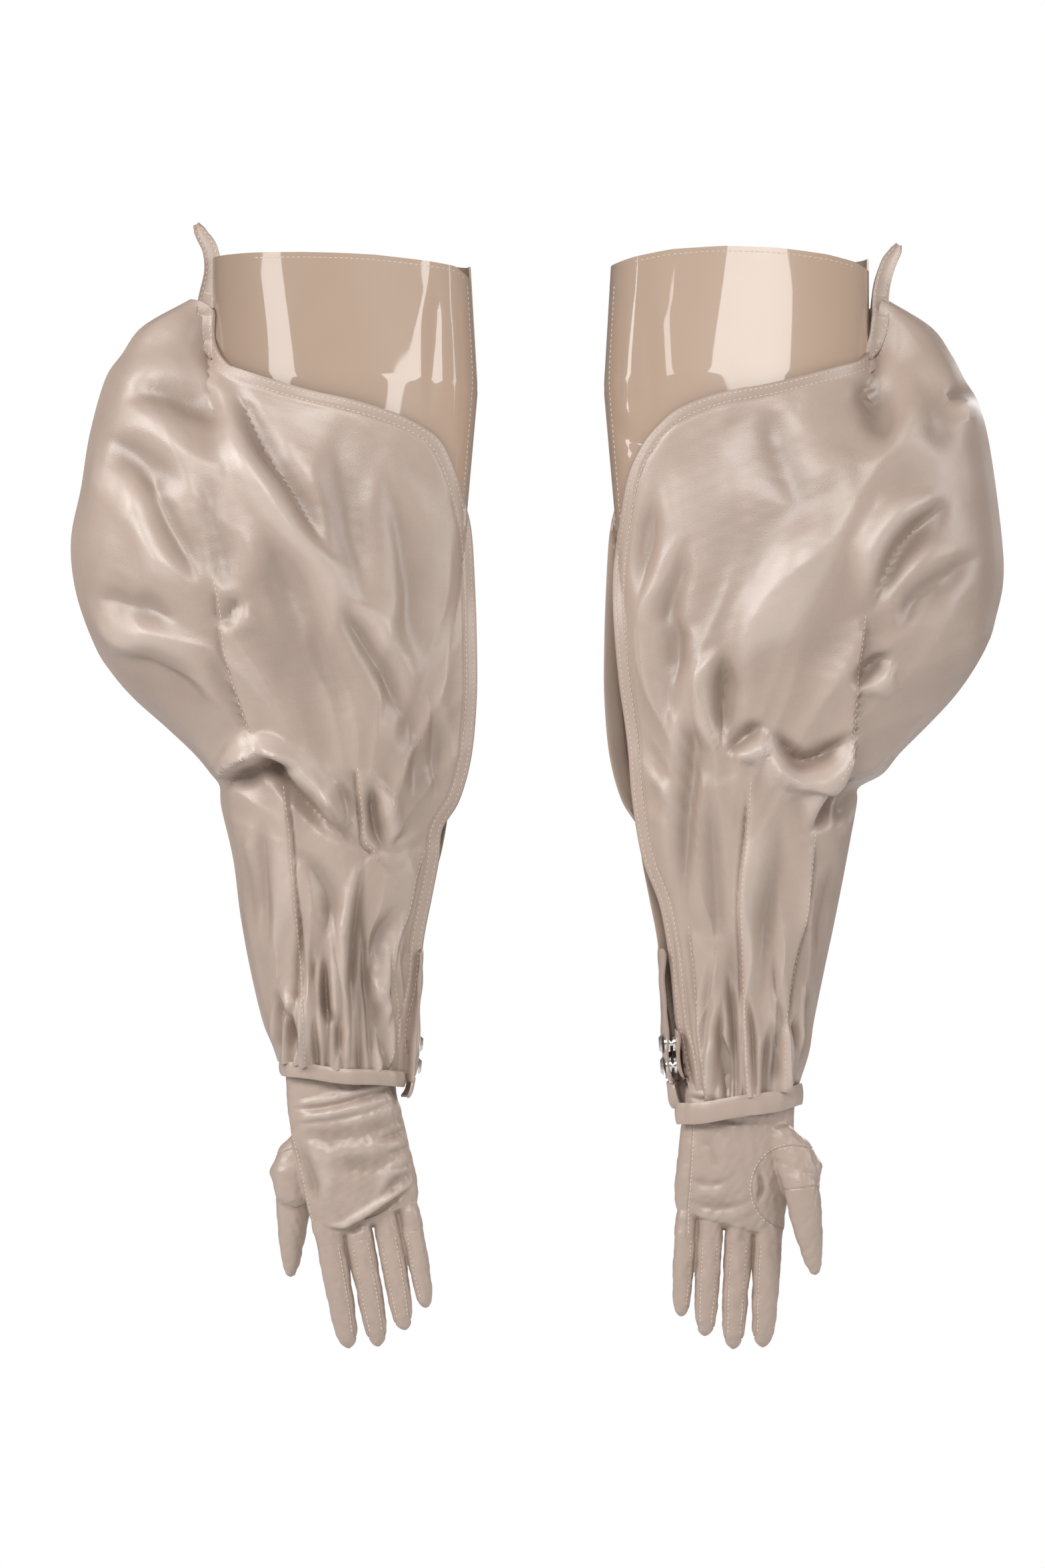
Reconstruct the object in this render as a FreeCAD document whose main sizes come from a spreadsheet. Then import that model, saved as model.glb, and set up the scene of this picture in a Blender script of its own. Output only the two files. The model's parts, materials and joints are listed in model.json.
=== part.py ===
import FreeCAD, Part
import math
import os

import Sketcher
from FreeCAD import Placement, Rotation, Vector

# A pair of long leather gloves with a puffed over-sleeve, in millimetres.
#
# Each glove is a long inner glove and a loose outer sleeve. The inner glove is a flattened patent
# leather cuff for the upper arm, a tube for the forearm, and a hand with four fingers and a thumb.
# The outer sleeve is two panels that meet along a seam on the thumb side. It is open along the
# little finger's side, gathered into a band at the wrist, and closed there by two snap fasteners.
#
# One glove is modelled. The first glove shows the back of its hand, and the second one is the same
# glove turned half round, so that it shows its palm.
#
# A glove's frame: the origin is the middle of the cuff's mouth, +Z is up the arm, +X is the little
# finger's side, and -Y is the back of the hand. "Drop" is a distance below the cuff's mouth.

SIZES = {
    # Leather and gaps
    "leather": 1.4,
    "patent": 1.2,
    "lining": 0.9,
    "snug": 0.4,
    # The pair
    "pair_spacing": 232.0,
    # Openings of the outer sleeve
    "slit_width": 3.0,
    "slit_start": 10.0,
    "neck_side": -70.0,
    "neck_bend": 24.0,
    "neck_bend_drop": 38.0,
    "neck_slope": 12.0,
    "neck_turn": 42.0,
    "neck_turn_at": 36.0,
    "neck_fall": 66.0,
    "neck_end_drop": 172.0,
    "facing": 8.0,
    # The tab at the sleeve's top corner
    "tab_width": 14.0,
    "tab_length": 50.0,
    "tab_round": 6.0,
    "tab_foot_side": -80.0,
    "tab_foot_deep": 16.0,
    "tab_foot_drop": 23.5,
    "tab_lean": 17.0,
    "tab_close": 16.5,
    # The band at the wrist
    "band_width": 75.0,
    "band_depth": 54.0,
    "band_height": 13.0,
    "band_rise": 7.0,
    "band_side": 1.5,
    "band_lean": 10.0,
    "band_mouth": 18.0,
    # The closure on the little finger's side
    "closure_side": 43.5,
    "closure_rise": 28.0,
    "closure_lean": 4.0,
    "flap_up": 62.0,
    "flap_down": 16.0,
    "flap_over": 10.0,
    "flap_back": 12.0,
    "flap_round": 5.0,
    "band_tab_height": 15.0,
    "placket_gap": 6.4,
    "placket_up": 14.0,
    "placket_width": 12.0,
    "snap_pitch": 13.0,
    "snap_radius": 5.5,
    "snap_side": 4.0,
    "stud_radius": 1.9,
    "stud_flange": 1.5,
    "socket_height": 3.2,
    "cap_height": 1.6,
    "snap_catch": 0.8,
    # The wrist joint and the hand
    "wrist_drop": 491.0,
    "first_hand_turn": 10.0,
    "second_hand_turn": 3.0,
    "gusset_side": -29.5,
    "gusset_drop": 43.0,
    "gusset_wide": 17.0,
    "gusset_tall": 25.0,
    # Fingers
    "knuckle_gap": 6.5,
    "knuckle_tuck": 6.3,
    "fork_share": 0.62,
    "finger_gap": 0.35,
    "index_width": 15.5,
    "index_depth": 13.0,
    "index_length": 64.5,
    "middle_side": -7.0,
    "middle_width": 15.0,
    "middle_depth": 13.0,
    "middle_length": 68.5,
    "ring_width": 14.5,
    "ring_depth": 13.0,
    "ring_length": 62.0,
    "little_width": 12.8,
    "little_depth": 12.0,
    "little_length": 47.5,
    # Thumb
    "thumb_side": -38.0,
    "thumb_deep": 13.0,
    "thumb_drop": 46.0,
    "thumb_width": 20.0,
    "thumb_depth": 18.0,
    "thumb_length": 57.0,
    "thumb_tuck": 4.0,
    "thumb_splay": 12.0,
    "thumb_clear": 0.8,
}

# Level ovals that the tubes are lofted through: drop, left side, right side, half depth.
LEVELS = {
    "cuff1": (0, -76, 75, 33),
    "cuff2": (70, -76, 79, 34),
    "cuff3": (190, -66, 69, 30),
    "arm2": (300, -48, 50, 26),
    "arm3": (400, -37, 38, 21),
    "arm4": (-27, -30, 31, 16.5),
    "arm5": (-15, -25.5, 25.5, 10.2),
    "arm6": (-4, -25, 25, 10),
    "puff1": (26, -88, 74, 37),
    "puff2": (45, -118, 77, 40),
    "puff3": (75, -139, 79, 45),
    "puff4": (115, -150, 80, 51),
    "puff5": (160, -156, 79, 56),
    "puff6": (205, -152, 78, 56),
    "puff7": (240, -138, 77, 53),
    "puff8": (270, -113, 75, 48),
    "puff9": (300, -84, 70, 43),
    "puff10": (335, -67, 61, 39),
    "puff11": (380, -59, 50, 36),
    "puff12": (-66, -51, 41, 33),
    "puff13": (-39, -44, 36, 29),
    "puff14": (-18, -38, 34, 24.5),
    "puff15": (14, -36, 33, 24),
    "hand1": (-4, -29.5, 29.5, 16.6),
    "hand2": (0, -30, 30, 16.8),
    "hand3": (30, -33.5, 33.5, 16.5),
    "hand4": (55, -34, 34, 15),
    "hand5": (72, -33.5, 33.5, 12.4),
}
CUFF_LEVELS = ["cuff1", "cuff2", "cuff3"]
ARM_LEVELS = ["cuff3", "arm2", "arm3", "arm4", "arm5", "arm6"]
PUFF_LEVELS = [f"puff{i}" for i in range(1, 16)]
HAND_LEVELS = ["hand1", "hand2", "hand3", "hand4", "hand5"]
# These levels are measured from the wrist, so that they follow it.
FROM_WRIST = ("arm4", "arm5", "arm6", "puff12", "puff13", "puff14", "puff15")

# How a finger narrows: share of its length from the knuckle, and share of its width.
FINGER_TAPER = ((0.0, 1.0), (0.5, 0.97), (0.8, 0.88), (0.93, 0.66), (1.0, 0.3))
FINGERS = ("index", "middle", "ring", "little")
# The fingers stand side by side, each beside the middle one.
FINGER_SIDES = {
    "index": "@middle_side - (@middle_width + @index_width) / 2 - @finger_gap",
    "middle": "@middle_side",
    "ring": "@middle_side + (@middle_width + @ring_width) / 2 + @finger_gap",
    "little": "@middle_side + (@middle_width + @little_width) / 2 + @ring_width + 2 * @finger_gap",
}

# A box that is cut or kept by its sides alone reaches this far past the model.
REACH = 800.0

doc = FreeCAD.newDocument("puff_sleeve_gloves")
sheet = doc.addObject("Spreadsheet::Sheet", "Sizes")


def fill_sheet():
    cells = dict(SIZES)
    for level, numbers in LEVELS.items():
        for word, number in zip(("drop", "left", "right", "deep"), numbers):
            cells[f"{level}_{word}"] = number
    for row, (alias, number) in enumerate(cells.items(), 1):
        sheet.set(f"A{row}", alias)
        sheet.set(f"B{row}", str(float(number)))
        sheet.setAlias(f"B{row}", alias)
    doc.recompute()


def cell(words):
    """An expression on the sheet, in which each size is written by its alias with an @ before it."""
    return words.replace("@", "Sizes.")


def bind(obj, **formulas):
    for name, words in formulas.items():
        obj.setExpression(name.replace("__", "."), cell(words))


def place(obj, x="0", y="0", z="0", axis=Vector(0, 1, 0), turn="0"):
    """Puts obj at x, y, z, turned about an axis, with all of them bound to the sheet."""
    obj.Placement = Placement(Vector(), Rotation(axis, 1.0))
    bind(obj, Placement__Base__x=x, Placement__Base__y=y, Placement__Base__z=z)
    bind(obj, Placement__Rotation__Angle=turn)
    return obj


def group(name, *members):
    obj = doc.addObject("Part::Compound", name)
    obj.Links = list(members)
    return obj


def cut(name, base, tool):
    obj = doc.addObject("Part::Cut", name)
    obj.Base, obj.Tool = base, tool
    return obj


def common(name, base, tool):
    obj = doc.addObject("Part::Common", name)
    obj.Base, obj.Tool = base, tool
    return obj


def fuse(name, *members):
    obj = doc.addObject("Part::MultiFuse", name)
    obj.Shapes = list(members)
    return obj


def block(name, x, y, z, long, wide, tall):
    """A box from its lowest corner, each value an expression."""
    obj = doc.addObject("Part::Box", name)
    bind(obj, Length=long, Width=wide, Height=tall)
    return place(obj, x, y, z)


def loft(name, sections):
    obj = doc.addObject("Part::Loft", name)
    obj.Sections, obj.Solid, obj.Ruled = sections, True, True
    return obj


# ---------------------------------------------------------------- tubes through level ovals


def level_oval(name, level, inset):
    oval = doc.addObject("Part::Ellipse", name)
    bind(oval, MajorRadius=f"(@{level}_right - @{level}_left) / 2 - ({inset})")
    bind(oval, MinorRadius=f"@{level}_deep - ({inset})")
    start = "@wrist_drop + " if level in FROM_WRIST else ""
    return place(oval, f"(@{level}_right + @{level}_left) / 2", "0", f"-({start}@{level}_drop)")


def level_solid(name, levels, inset="0"):
    return loft(name, [level_oval(f"{name}_{n}", n, inset) for n in levels])


def level_tube(name, levels, wall):
    outside = level_solid(f"{name}_outside", levels)
    inside = level_solid(f"{name}_inside", levels, wall)
    return cut(name, outside, inside)


def half(name, shape, side):
    """The half of a shape towards the back of the hand (front) or the palm (back)."""
    low = f"-{REACH}" if side == "front" else "0"
    keep = block(f"{name}_side", f"-{REACH}", low, f"-{REACH}", f"2 * {REACH}", f"{REACH}", f"2 * {REACH}")
    return common(name, shape, keep)


# ---------------------------------------------------------------- the inner glove's arm


def make_cuff():
    tube = level_tube("cuff", CUFF_LEVELS, "@patent")
    return half("cuff_front", tube, "front"), half("cuff_back", tube, "back")


def make_inner_sleeve():
    return level_tube("inner_sleeve", ARM_LEVELS, "@lining")


# ---------------------------------------------------------------- the outer sleeve


def neck_cutter(name, offset):
    """The space above the sleeve's neckline, moved by offset into the leather.

    The line falls beside the tab, bends round, slopes across the arm, and turns down to the slit.
    """
    sizes = {n: sheet.get(n) for n in SIZES if n.startswith("neck_")}
    shift = sheet.get("facing") if "facing" in offset else 0.0
    slope, fall = math.radians(sizes["neck_slope"]), math.radians(sizes["neck_fall"])
    bend, turn = sizes["neck_bend"] + shift, sizes["neck_turn"] - shift
    middle = Vector(sizes["neck_side"] + sizes["neck_bend"], -sizes["neck_bend_drop"], 0)
    along = Vector(math.cos(slope), -math.sin(slope), 0)
    under = Vector(-math.sin(slope), -math.cos(slope), 0)
    low = middle + under * bend
    run = (sizes["neck_turn_at"] - (low + under * turn).x) / along.x
    corner = low + along * run
    heart = corner + under * turn
    leave = heart + Vector(math.sin(fall), math.cos(fall), 0) * turn
    end_drop = sizes["neck_end_drop"]
    end = leave + Vector(math.cos(fall), -math.sin(fall), 0) * ((leave.y + end_drop) / math.sin(fall))
    top, far = 60.0, 120.0
    start = Vector(middle.x - bend, top, 0)

    sketch = doc.addObject("Sketcher::SketchObject", f"{name}_outline")
    sketch.Placement = Placement(Vector(0, 0, 0), Rotation(Vector(1, 0, 0), 90))
    line, arc = Part.LineSegment, Part.ArcOfCircle
    up = Vector(0, 0, 1)
    first = arc(Part.Circle(middle, up, bend), math.pi, 1.5 * math.pi - slope)
    second = arc(Part.Circle(heart, up, turn), math.pi / 2 - fall, math.pi / 2 - slope)
    edges = [
        line(start, Vector(start.x, middle.y, 0)),
        first,
        line(low, corner),
        second,
        line(leave, end),
        line(end, Vector(far, end.y, 0)),
        line(Vector(far, end.y, 0), Vector(far, top, 0)),
        line(Vector(far, top, 0), start),
    ]
    for edge in edges:
        sketch.addGeometry(edge, False)
    begin, finish, centre = 1, 2, 3
    rules = [
        ("Tangent", 0, finish, 1, begin),
        ("Tangent", 1, finish, 2, begin),
        ("Tangent", 2, finish, 3, finish),
        ("Tangent", 3, begin, 4, begin),
        ("Coincident", 4, finish, 5, begin),
        ("Coincident", 5, finish, 6, begin),
        ("Coincident", 6, finish, 7, begin),
        ("Coincident", 7, finish, 0, begin),
        ("Vertical", 0),
        ("Horizontal", 5),
        ("Vertical", 6),
        ("Horizontal", 7),
    ]
    for rule in rules:
        sketch.addConstraint(Sketcher.Constraint(*rule))
    sizes_of = [
        ("Radius", (1, bend), f"@neck_bend + {offset}"),
        ("Radius", (3, turn), f"@neck_turn - {offset}"),
        ("DistanceX", (-1, 1, 1, centre, middle.x), "@neck_side + @neck_bend"),
        ("DistanceY", (-1, 1, 1, centre, middle.y), "-@neck_bend_drop"),
        ("DistanceX", (-1, 1, 3, centre, heart.x), "@neck_turn_at"),
        ("DistanceY", (-1, 1, 4, finish, end.y), "-@neck_end_drop"),
        ("DistanceX", (-1, 1, 6, begin, far), f"{far}"),
        ("DistanceY", (-1, 1, 7, begin, top), f"{top}"),
        ("Angle", (2, -slope), "-@neck_slope * 1 deg"),
        ("Angle", (4, -fall), "-@neck_fall * 1 deg"),
    ]
    for kind, numbers, words in sizes_of:
        index = sketch.addConstraint(Sketcher.Constraint(kind, *numbers))
        sketch.setExpression(f"Constraints[{index}]", cell(words))
    prism = doc.addObject("Part::Extrusion", name)
    prism.Base, prism.DirMode, prism.Dir = sketch, "Custom", Vector(0, 1, 0)
    prism.LengthFwd, prism.Symmetric, prism.Solid = REACH, True, True
    return prism


def make_puff():
    """Front and back panel, and the stitched facing along the neckline of each."""
    tube = level_tube("puff", PUFF_LEVELS, "@leather")
    slit = block(
        "slit", "@slit_start", "-@slit_width / 2", f"-{REACH}", f"{REACH}", "@slit_width", f"{REACH}"
    )
    below = block(
        "below_band_top", f"-{REACH}", f"-{REACH}", f"-{REACH}", f"2 * {REACH}", f"2 * {REACH}",
        f"{REACH} + @band_height / 2",
    )
    foot = at_band("sleeve_foot", below)
    neck = neck_cutter("neckline", "0")
    hem = neck_cutter("neckline_and_facing", "@facing")
    made = {}
    for side in ("front", "back"):
        gathered = cut(f"{side}_gathered", half(f"puff_{side}_half", tube, side), foot)
        whole = cut(f"{side}_leather", gathered, slit)
        made[f"{side}_panel"] = cut(f"{side}_panel", whole, hem)
        strip = common(f"{side}_strip", whole, hem)
        made[f"{side}_facing"] = cut(f"{side}_facing", strip, neck)
    return made


def rectangle_body(name, long, tall, thick):
    """A PartDesign plate on the XZ plane, from its lower left corner, padded towards -Y."""
    body = doc.addObject("PartDesign::Body", name)
    plane = next(o for o in body.Origin.OriginFeatures if o.Role == "XZ_Plane")
    sketch = body.newObject("Sketcher::SketchObject", f"{name}_outline")
    sketch.AttachmentSupport, sketch.MapMode = [(plane, "")], "FlatFace"
    w, h = 10.0, 20.0
    points = [Vector(0, 0, 0), Vector(w, 0, 0), Vector(w, h, 0), Vector(0, h, 0)]
    for i in range(4):
        sketch.addGeometry(Part.LineSegment(points[i], points[(i + 1) % 4]), False)
    for i in range(4):
        sketch.addConstraint(Sketcher.Constraint("Coincident", i, 2, (i + 1) % 4, 1))
        sketch.addConstraint(Sketcher.Constraint("Vertical" if i % 2 else "Horizontal", i))
    sketch.addConstraint(Sketcher.Constraint("Coincident", 0, 1, -1, 1))
    for kind, edge, number, words in (("DistanceX", 0, w, long), ("DistanceY", 1, h, tall)):
        index = sketch.addConstraint(Sketcher.Constraint(kind, edge, 1, edge, 2, number))
        sketch.setExpression(f"Constraints[{index}]", cell(words))
    pad = body.newObject("PartDesign::Pad", f"{name}_pad")
    pad.Profile = sketch
    bind(pad, Length=thick)
    doc.recompute()
    return body, pad


def round_corners(body, pad, radius, corner):
    """Fillets the edges through the plate at the corners for which corner(x, z) is true."""
    names = []
    for number, edge in enumerate(pad.Shape.Edges, 1):
        low, high = edge.Vertexes[0].Point, edge.Vertexes[-1].Point
        if abs(low.x - high.x) < 1e-6 and abs(low.z - high.z) < 1e-6 and corner(low.x, low.z):
            names.append(f"Edge{number}")
    fillet = body.newObject("PartDesign::Fillet", f"{body.Name}_round")
    fillet.Base = (pad, names)
    bind(fillet, Radius=radius)
    body.Tip = fillet
    doc.recompute()


def make_tab(side):
    """One of the two leaves that rise from the neckline's corner and come together at their tips."""
    body, pad = rectangle_body(f"tab_{side}_blank", "@tab_width", "@tab_length", "@leather")
    round_corners(body, pad, "@tab_round", lambda x, z: z > 1.0)
    toward = -1 if side == "front" else 1
    tip_in = sheet.get("tab_close") * -toward
    leaf = group(f"tab_{side}_leaf", body)
    leaf.Placement = Placement(Vector(), Rotation(Vector(1, 0, 0), -tip_in))
    bind(leaf, Placement__Base__x="-@tab_width / 2")
    seated = group(f"tab_{side}", leaf)
    deep = f"{toward} * @tab_foot_deep"
    if side == "back":
        deep += " + @leather"
    return place(seated, "@tab_foot_side", deep, "-@tab_foot_drop", turn="-@tab_lean")


# ---------------------------------------------------------------- the wrist band


def oval_prism(name, wide, deep, tall):
    oval = doc.addObject("Part::Ellipse", f"{name}_oval")
    bind(oval, MajorRadius=f"({wide}) / 2", MinorRadius=f"({deep}) / 2")
    place(oval, z=f"-({tall}) / 2")
    prism = doc.addObject("Part::Extrusion", name)
    prism.Base, prism.DirMode, prism.Dir, prism.Solid = oval, "Custom", Vector(0, 0, 1), True
    bind(prism, LengthFwd=tall)
    return prism


def at_band(name, obj):
    return place(group(name, obj), "@band_side", "0", "@band_rise - @wrist_drop", turn="@band_lean")


def make_band():
    outside = oval_prism("band_outside", "@band_width", "@band_depth", "@band_height")
    inside = oval_prism(
        "band_inside", "@band_width - 2 * @leather", "@band_depth - 2 * @leather", "@band_height"
    )
    ring = cut("band_ring", outside, inside)
    mouth = block(
        "band_gap", "0", "-@band_mouth / 2", "-@band_height", "@band_width", "@band_mouth", "2 * @band_height"
    )
    return at_band("band", cut("band_open", ring, mouth))


# ---------------------------------------------------------------- the closure and its snaps
#
# The closure's frame: the origin is on the flap's inner face, between the two snaps, X is the
# outward normal, and Z runs up the flap.


def in_closure(name, obj):
    return place(group(name, obj), "@closure_side", "0", "@closure_rise - @wrist_drop", turn="@closure_lean")


def closure_plate(name, x, y, z, thick, wide, tall):
    """A plate across the closure's X axis. The body's own plate stands across Y, so it is turned."""
    body, pad = rectangle_body(f"{name}_blank", wide, tall, thick)
    turned = group(f"{name}_turned", body)
    place(turned, x, y, z, axis=Vector(0, 0, 1), turn="90")
    return body, pad, turned


def make_flap():
    body, pad, turned = closure_plate(
        "flap",
        "0",
        "-@flap_back",
        "-@flap_down",
        "@leather",
        "@flap_back + @flap_over",
        "@flap_up + @flap_down",
    )
    round_corners(body, pad, "@flap_round", lambda x, z: z > 1.0 and x > 1.0)
    return in_closure("flap", turned)


def make_band_tab():
    body, pad, turned = closure_plate(
        "band_tab",
        "0",
        "-@flap_back",
        "-@flap_down - @snug - @band_tab_height",
        "@leather",
        "@flap_back + @flap_over / 2",
        "@band_tab_height",
    )
    round_corners(body, pad, "@flap_round", lambda x, z: x > 1.0)
    return in_closure("band_tab", turned)


def against_sleeve(name, blank):
    """A piece in the closure, trimmed so that it lies against the outside of the sleeve."""
    solid = level_solid(f"{name}_trim", PUFF_LEVELS)
    return cut(name, in_closure(f"{name}_untrimmed", blank), solid)


def make_placket():
    """The leather under the studs, on the palm's side."""
    blank = block(
        "placket_blank",
        "-@placket_gap - 3 * @leather",
        "@slit_width / 2",
        "-@placket_up",
        "3 * @leather",
        "@placket_width",
        "2 * @placket_up",
    )
    return against_sleeve("placket", blank)


def make_fold():
    """The fold of the back panel that carries the flap out past the slit."""
    blank = block(
        "fold_blank",
        "-2 * @flap_back",
        "-@flap_back - @snug - @leather",
        "-@flap_down",
        "2 * @flap_back + @leather",
        "@leather",
        "@flap_down + @flap_up",
    )
    return against_sleeve("closure_fold", blank)


def disc(name, radius, x, height):
    """A round disc whose axis is the closure's X axis, from x outwards."""
    obj = doc.addObject("Part::Cylinder", name)
    bind(obj, Radius=radius, Height=height)
    return place(obj, x, "0", "0", turn="90")


def at_both_snaps(name, obj):
    """The same piece at both snaps."""
    copies = []
    for where, sign in (("upper", "+"), ("lower", "-")):
        copy = place(group(f"{name}_{where}", obj), "0", "@snap_side", f"0 {sign} @snap_pitch / 2")
        copies.append(copy)
    return in_closure(name, group(f"{name}_both", *copies))


def make_snaps():
    flange = disc("stud_base", "@snap_radius * 0.94", "-@placket_gap", "@stud_flange")
    nub = disc("stud_nub", "@stud_radius", "-@placket_gap", "@placket_gap - @socket_height + @snap_catch")
    stud = fuse("stud", flange, nub)
    rim = disc("socket_rim", "@snap_radius", "-@socket_height", "@socket_height")
    hole = disc("socket_hole", "@stud_radius + @snug", "-@socket_height", "@socket_height - @leather / 2")
    socket = cut("socket", rim, hole)
    cap = doc.addObject("Part::Cone", "cap")
    bind(cap, Radius1="@snap_radius", Radius2="@snap_radius * 0.7", Height="@cap_height")
    place(cap, "@leather", "0", "0", turn="90")
    return {
        "snap_studs": at_both_snaps("snap_studs", stud),
        "snap_sockets": at_both_snaps("snap_sockets", socket),
        "snap_caps": at_both_snaps("snap_caps", cap),
    }


# ---------------------------------------------------------------- the hand


def finger_solid(name, wide, deep, long, tuck, inset, short):
    """A finger's outer or inner shape. It hangs from its knuckle, and its tip is rounded."""
    sections = []
    for number, (along, share) in enumerate(FINGER_TAPER):
        oval = doc.addObject("Part::Ellipse", f"{name}_{number}")
        across, through = f"({wide} / 2 * {share} - ({inset}))", f"({deep} / 2 * {share} - ({inset}))"
        bind(oval, MajorRadius=f"max({across}; {through})", MinorRadius=f"min({across}; {through})")
        down = f"({tuck}) - (({tuck}) + ({long}) - ({short})) * {along}"
        sections.append(place(oval, z=down, axis=Vector(0, 0, 1), turn=f"{wide} >= {deep} ? 0 : 90"))
    return loft(name, sections)


def finger_tube(name, wide, deep, long, tuck):
    outside = finger_solid(f"{name}_outside", wide, deep, long, tuck, "0", "0")
    inside = finger_solid(
        f"{name}_inside", wide, deep, long, tuck, "min(@leather; " + f"{deep} * 0.13)", "@leather"
    )
    return cut(f"{name}_tube", outside, inside)


def make_finger(finger):
    """The stall, which is cut in one with the hand, and the fork strips between it and its neighbours."""
    wide, long = f"@{finger}_width", f"@{finger}_length"
    tube = finger_tube(finger, wide, f"@{finger}_depth", long, "@knuckle_tuck")
    low, tall = f"-0.88 * {long}", f"0.88 * {long} + {REACH}"
    slabs = []
    if finger != "index":
        slabs.append(
            block(f"{finger}_thumb_side", f"-{REACH}", f"-{REACH}", low,
                  f"{REACH} - {wide} / 2 * @fork_share", f"2 * {REACH}", tall)
        )
    if finger != "little":
        slabs.append(
            block(f"{finger}_far_side", f"{wide} / 2 * @fork_share", f"-{REACH}", low,
                  f"{REACH}", f"2 * {REACH}", tall)
        )
    slab = group(f"{finger}_sides", *slabs)
    return {
        finger: in_hand(f"{finger}_stall", cut(f"{finger}_shell", tube, slab), finger),
        f"{finger}_fork": in_hand(f"{finger}_fork", common(f"{finger}_strips", tube, slab), finger),
    }


def in_hand(name, obj, finger):
    return place(group(name, obj), FINGER_SIDES[finger], "0", "-@hand5_drop - @knuckle_gap")


def in_thumb(name, obj):
    return place(
        group(name, obj), "@thumb_side", "@thumb_deep", "-@thumb_drop", turn="@thumb_splay"
    )


def make_thumb():
    tube = finger_tube("thumb", "@thumb_width", "@thumb_depth", "@thumb_length", "@thumb_tuck")
    return in_thumb("thumb_stall", tube)


def thumb_room():
    """The space beside the palm that the thumb swings in."""
    swing = "sqrt((@thumb_width / 2) ^ 2 + @thumb_tuck ^ 2) + @thumb_clear"
    room = block(
        "thumb_swing",
        f"-{REACH}",
        "-@thumb_depth / 2 - @thumb_clear",
        f"-{REACH}",
        f"{REACH} + {swing}",
        f"{REACH}",
        f"{REACH} + {swing}",
    )
    return in_thumb("thumb_room", room)


def make_hand():
    tube = level_tube("hand", HAND_LEVELS, "@leather")
    palm = half("palm_half", tube, "back")
    oval = doc.addObject("Part::Ellipse", "gusset_oval")
    bind(oval, MajorRadius="max(@gusset_tall; @gusset_wide)", MinorRadius="min(@gusset_tall; @gusset_wide)")
    oval.Placement = Placement(Vector(), Rotation(Vector(1, 1, 1), 240))
    bind(oval, Placement__Base__x="@gusset_side", Placement__Base__z="-@gusset_drop")
    prism = doc.addObject("Part::Extrusion", "gusset_prism")
    prism.Base, prism.DirMode, prism.Dir = oval, "Custom", Vector(0, 1, 0)
    prism.LengthFwd, prism.Solid = REACH, True
    room = thumb_room()
    return {
        "hand_back": half("hand_back_half", tube, "front"),
        "hand_palm": cut("hand_palm_trimmed", cut("palm_less_gusset", palm, prism), room),
        "thumb_gusset": cut("gusset_trimmed", common("gusset_blank", palm, prism), room),
    }


# ---------------------------------------------------------------- both gloves

FIRST, SECOND = "first", "second"


def on_glove(glove, name, obj):
    """A node: a piece of one glove, in the pair's frame."""
    node = group(f"{glove}_{name}", obj)
    node.Label = f"{glove}_{name}"
    if glove == FIRST:
        return place(node)
    return place(node, x="@pair_spacing", axis=Vector(0, 0, 1), turn="180")


def on_wrist(glove, name, obj):
    """A node of the hand, which hangs at its own angle from the wrist."""
    hung = group(f"{glove}_{name}_hung", obj)
    place(hung, z="-@wrist_drop", turn=f"-@{glove}_hand_turn")
    return on_glove(glove, name, hung)


def build():
    fill_sheet()
    sleeve, hand = {}, {}
    sleeve["cuff_front"], sleeve["cuff_back"] = make_cuff()
    sleeve["inner_sleeve"] = make_inner_sleeve()
    sleeve.update(make_puff())
    sleeve["tab_front"], sleeve["tab_back"] = make_tab("front"), make_tab("back")
    sleeve["wrist_band"] = make_band()
    sleeve["closure_flap"] = make_flap()
    sleeve["band_tab"] = make_band_tab()
    sleeve["snap_placket"] = make_placket()
    sleeve["closure_fold"] = make_fold()
    sleeve.update(make_snaps())
    hand.update(make_hand())
    for finger in FINGERS:
        made = make_finger(finger)
        hand[f"{finger}_finger"] = made[finger]
        hand[f"{finger}_fourchette"] = made[f"{finger}_fork"]
    hand["thumb"] = make_thumb()
    doc.recompute()

    nodes = []
    for glove in (FIRST, SECOND):
        nodes += [on_glove(glove, name, obj) for name, obj in sleeve.items()]
        nodes += [on_wrist(glove, name, obj) for name, obj in hand.items()]
    doc.recompute()
    return nodes


def check(nodes):
    for obj in doc.Objects:
        if "Invalid" in obj.State or "Error" in obj.State:
            raise RuntimeError(f"{obj.Name} failed: {obj.State}")
    for node in nodes:
        shape = node.Shape
        if shape.isNull() or not shape.isValid() or not shape.Solids:
            raise RuntimeError(f"{node.Label} has no valid solid")
        if any(solid.Volume <= 0 for solid in shape.Solids):
            raise RuntimeError(f"{node.Label} has an empty solid")


def export(nodes):
    os.makedirs("parts", exist_ok=True)
    for node in nodes:
        node.Shape.exportStep(os.path.join("parts", f"{node.Label}.step"))
        print(f"{node.Label}: {len(node.Shape.Solids)} solids, {node.Shape.Volume / 1000:.2f} cm3")


pieces = build()
check(pieces)
export(pieces)
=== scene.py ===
# %% [markdown]
# # A pair of puff-sleeved leather gloves
# Each glove is a long inner glove with a glossy upper-arm tube, and a loose outer sleeve of soft
# leather. The sleeve's two panels puff out on the thumb's side, are open on the little finger's
# side, and are gathered into a band at the wrist. This lesson dresses a working frame: the frame
# knows where each piece is and what moves, and each cell below makes the skin of one piece.

# %% Load the frame
import json
import math
import bpy
import numpy as np
from mathutils import Matrix, Vector
from mathutils.bvhtree import BVHTree


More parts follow.
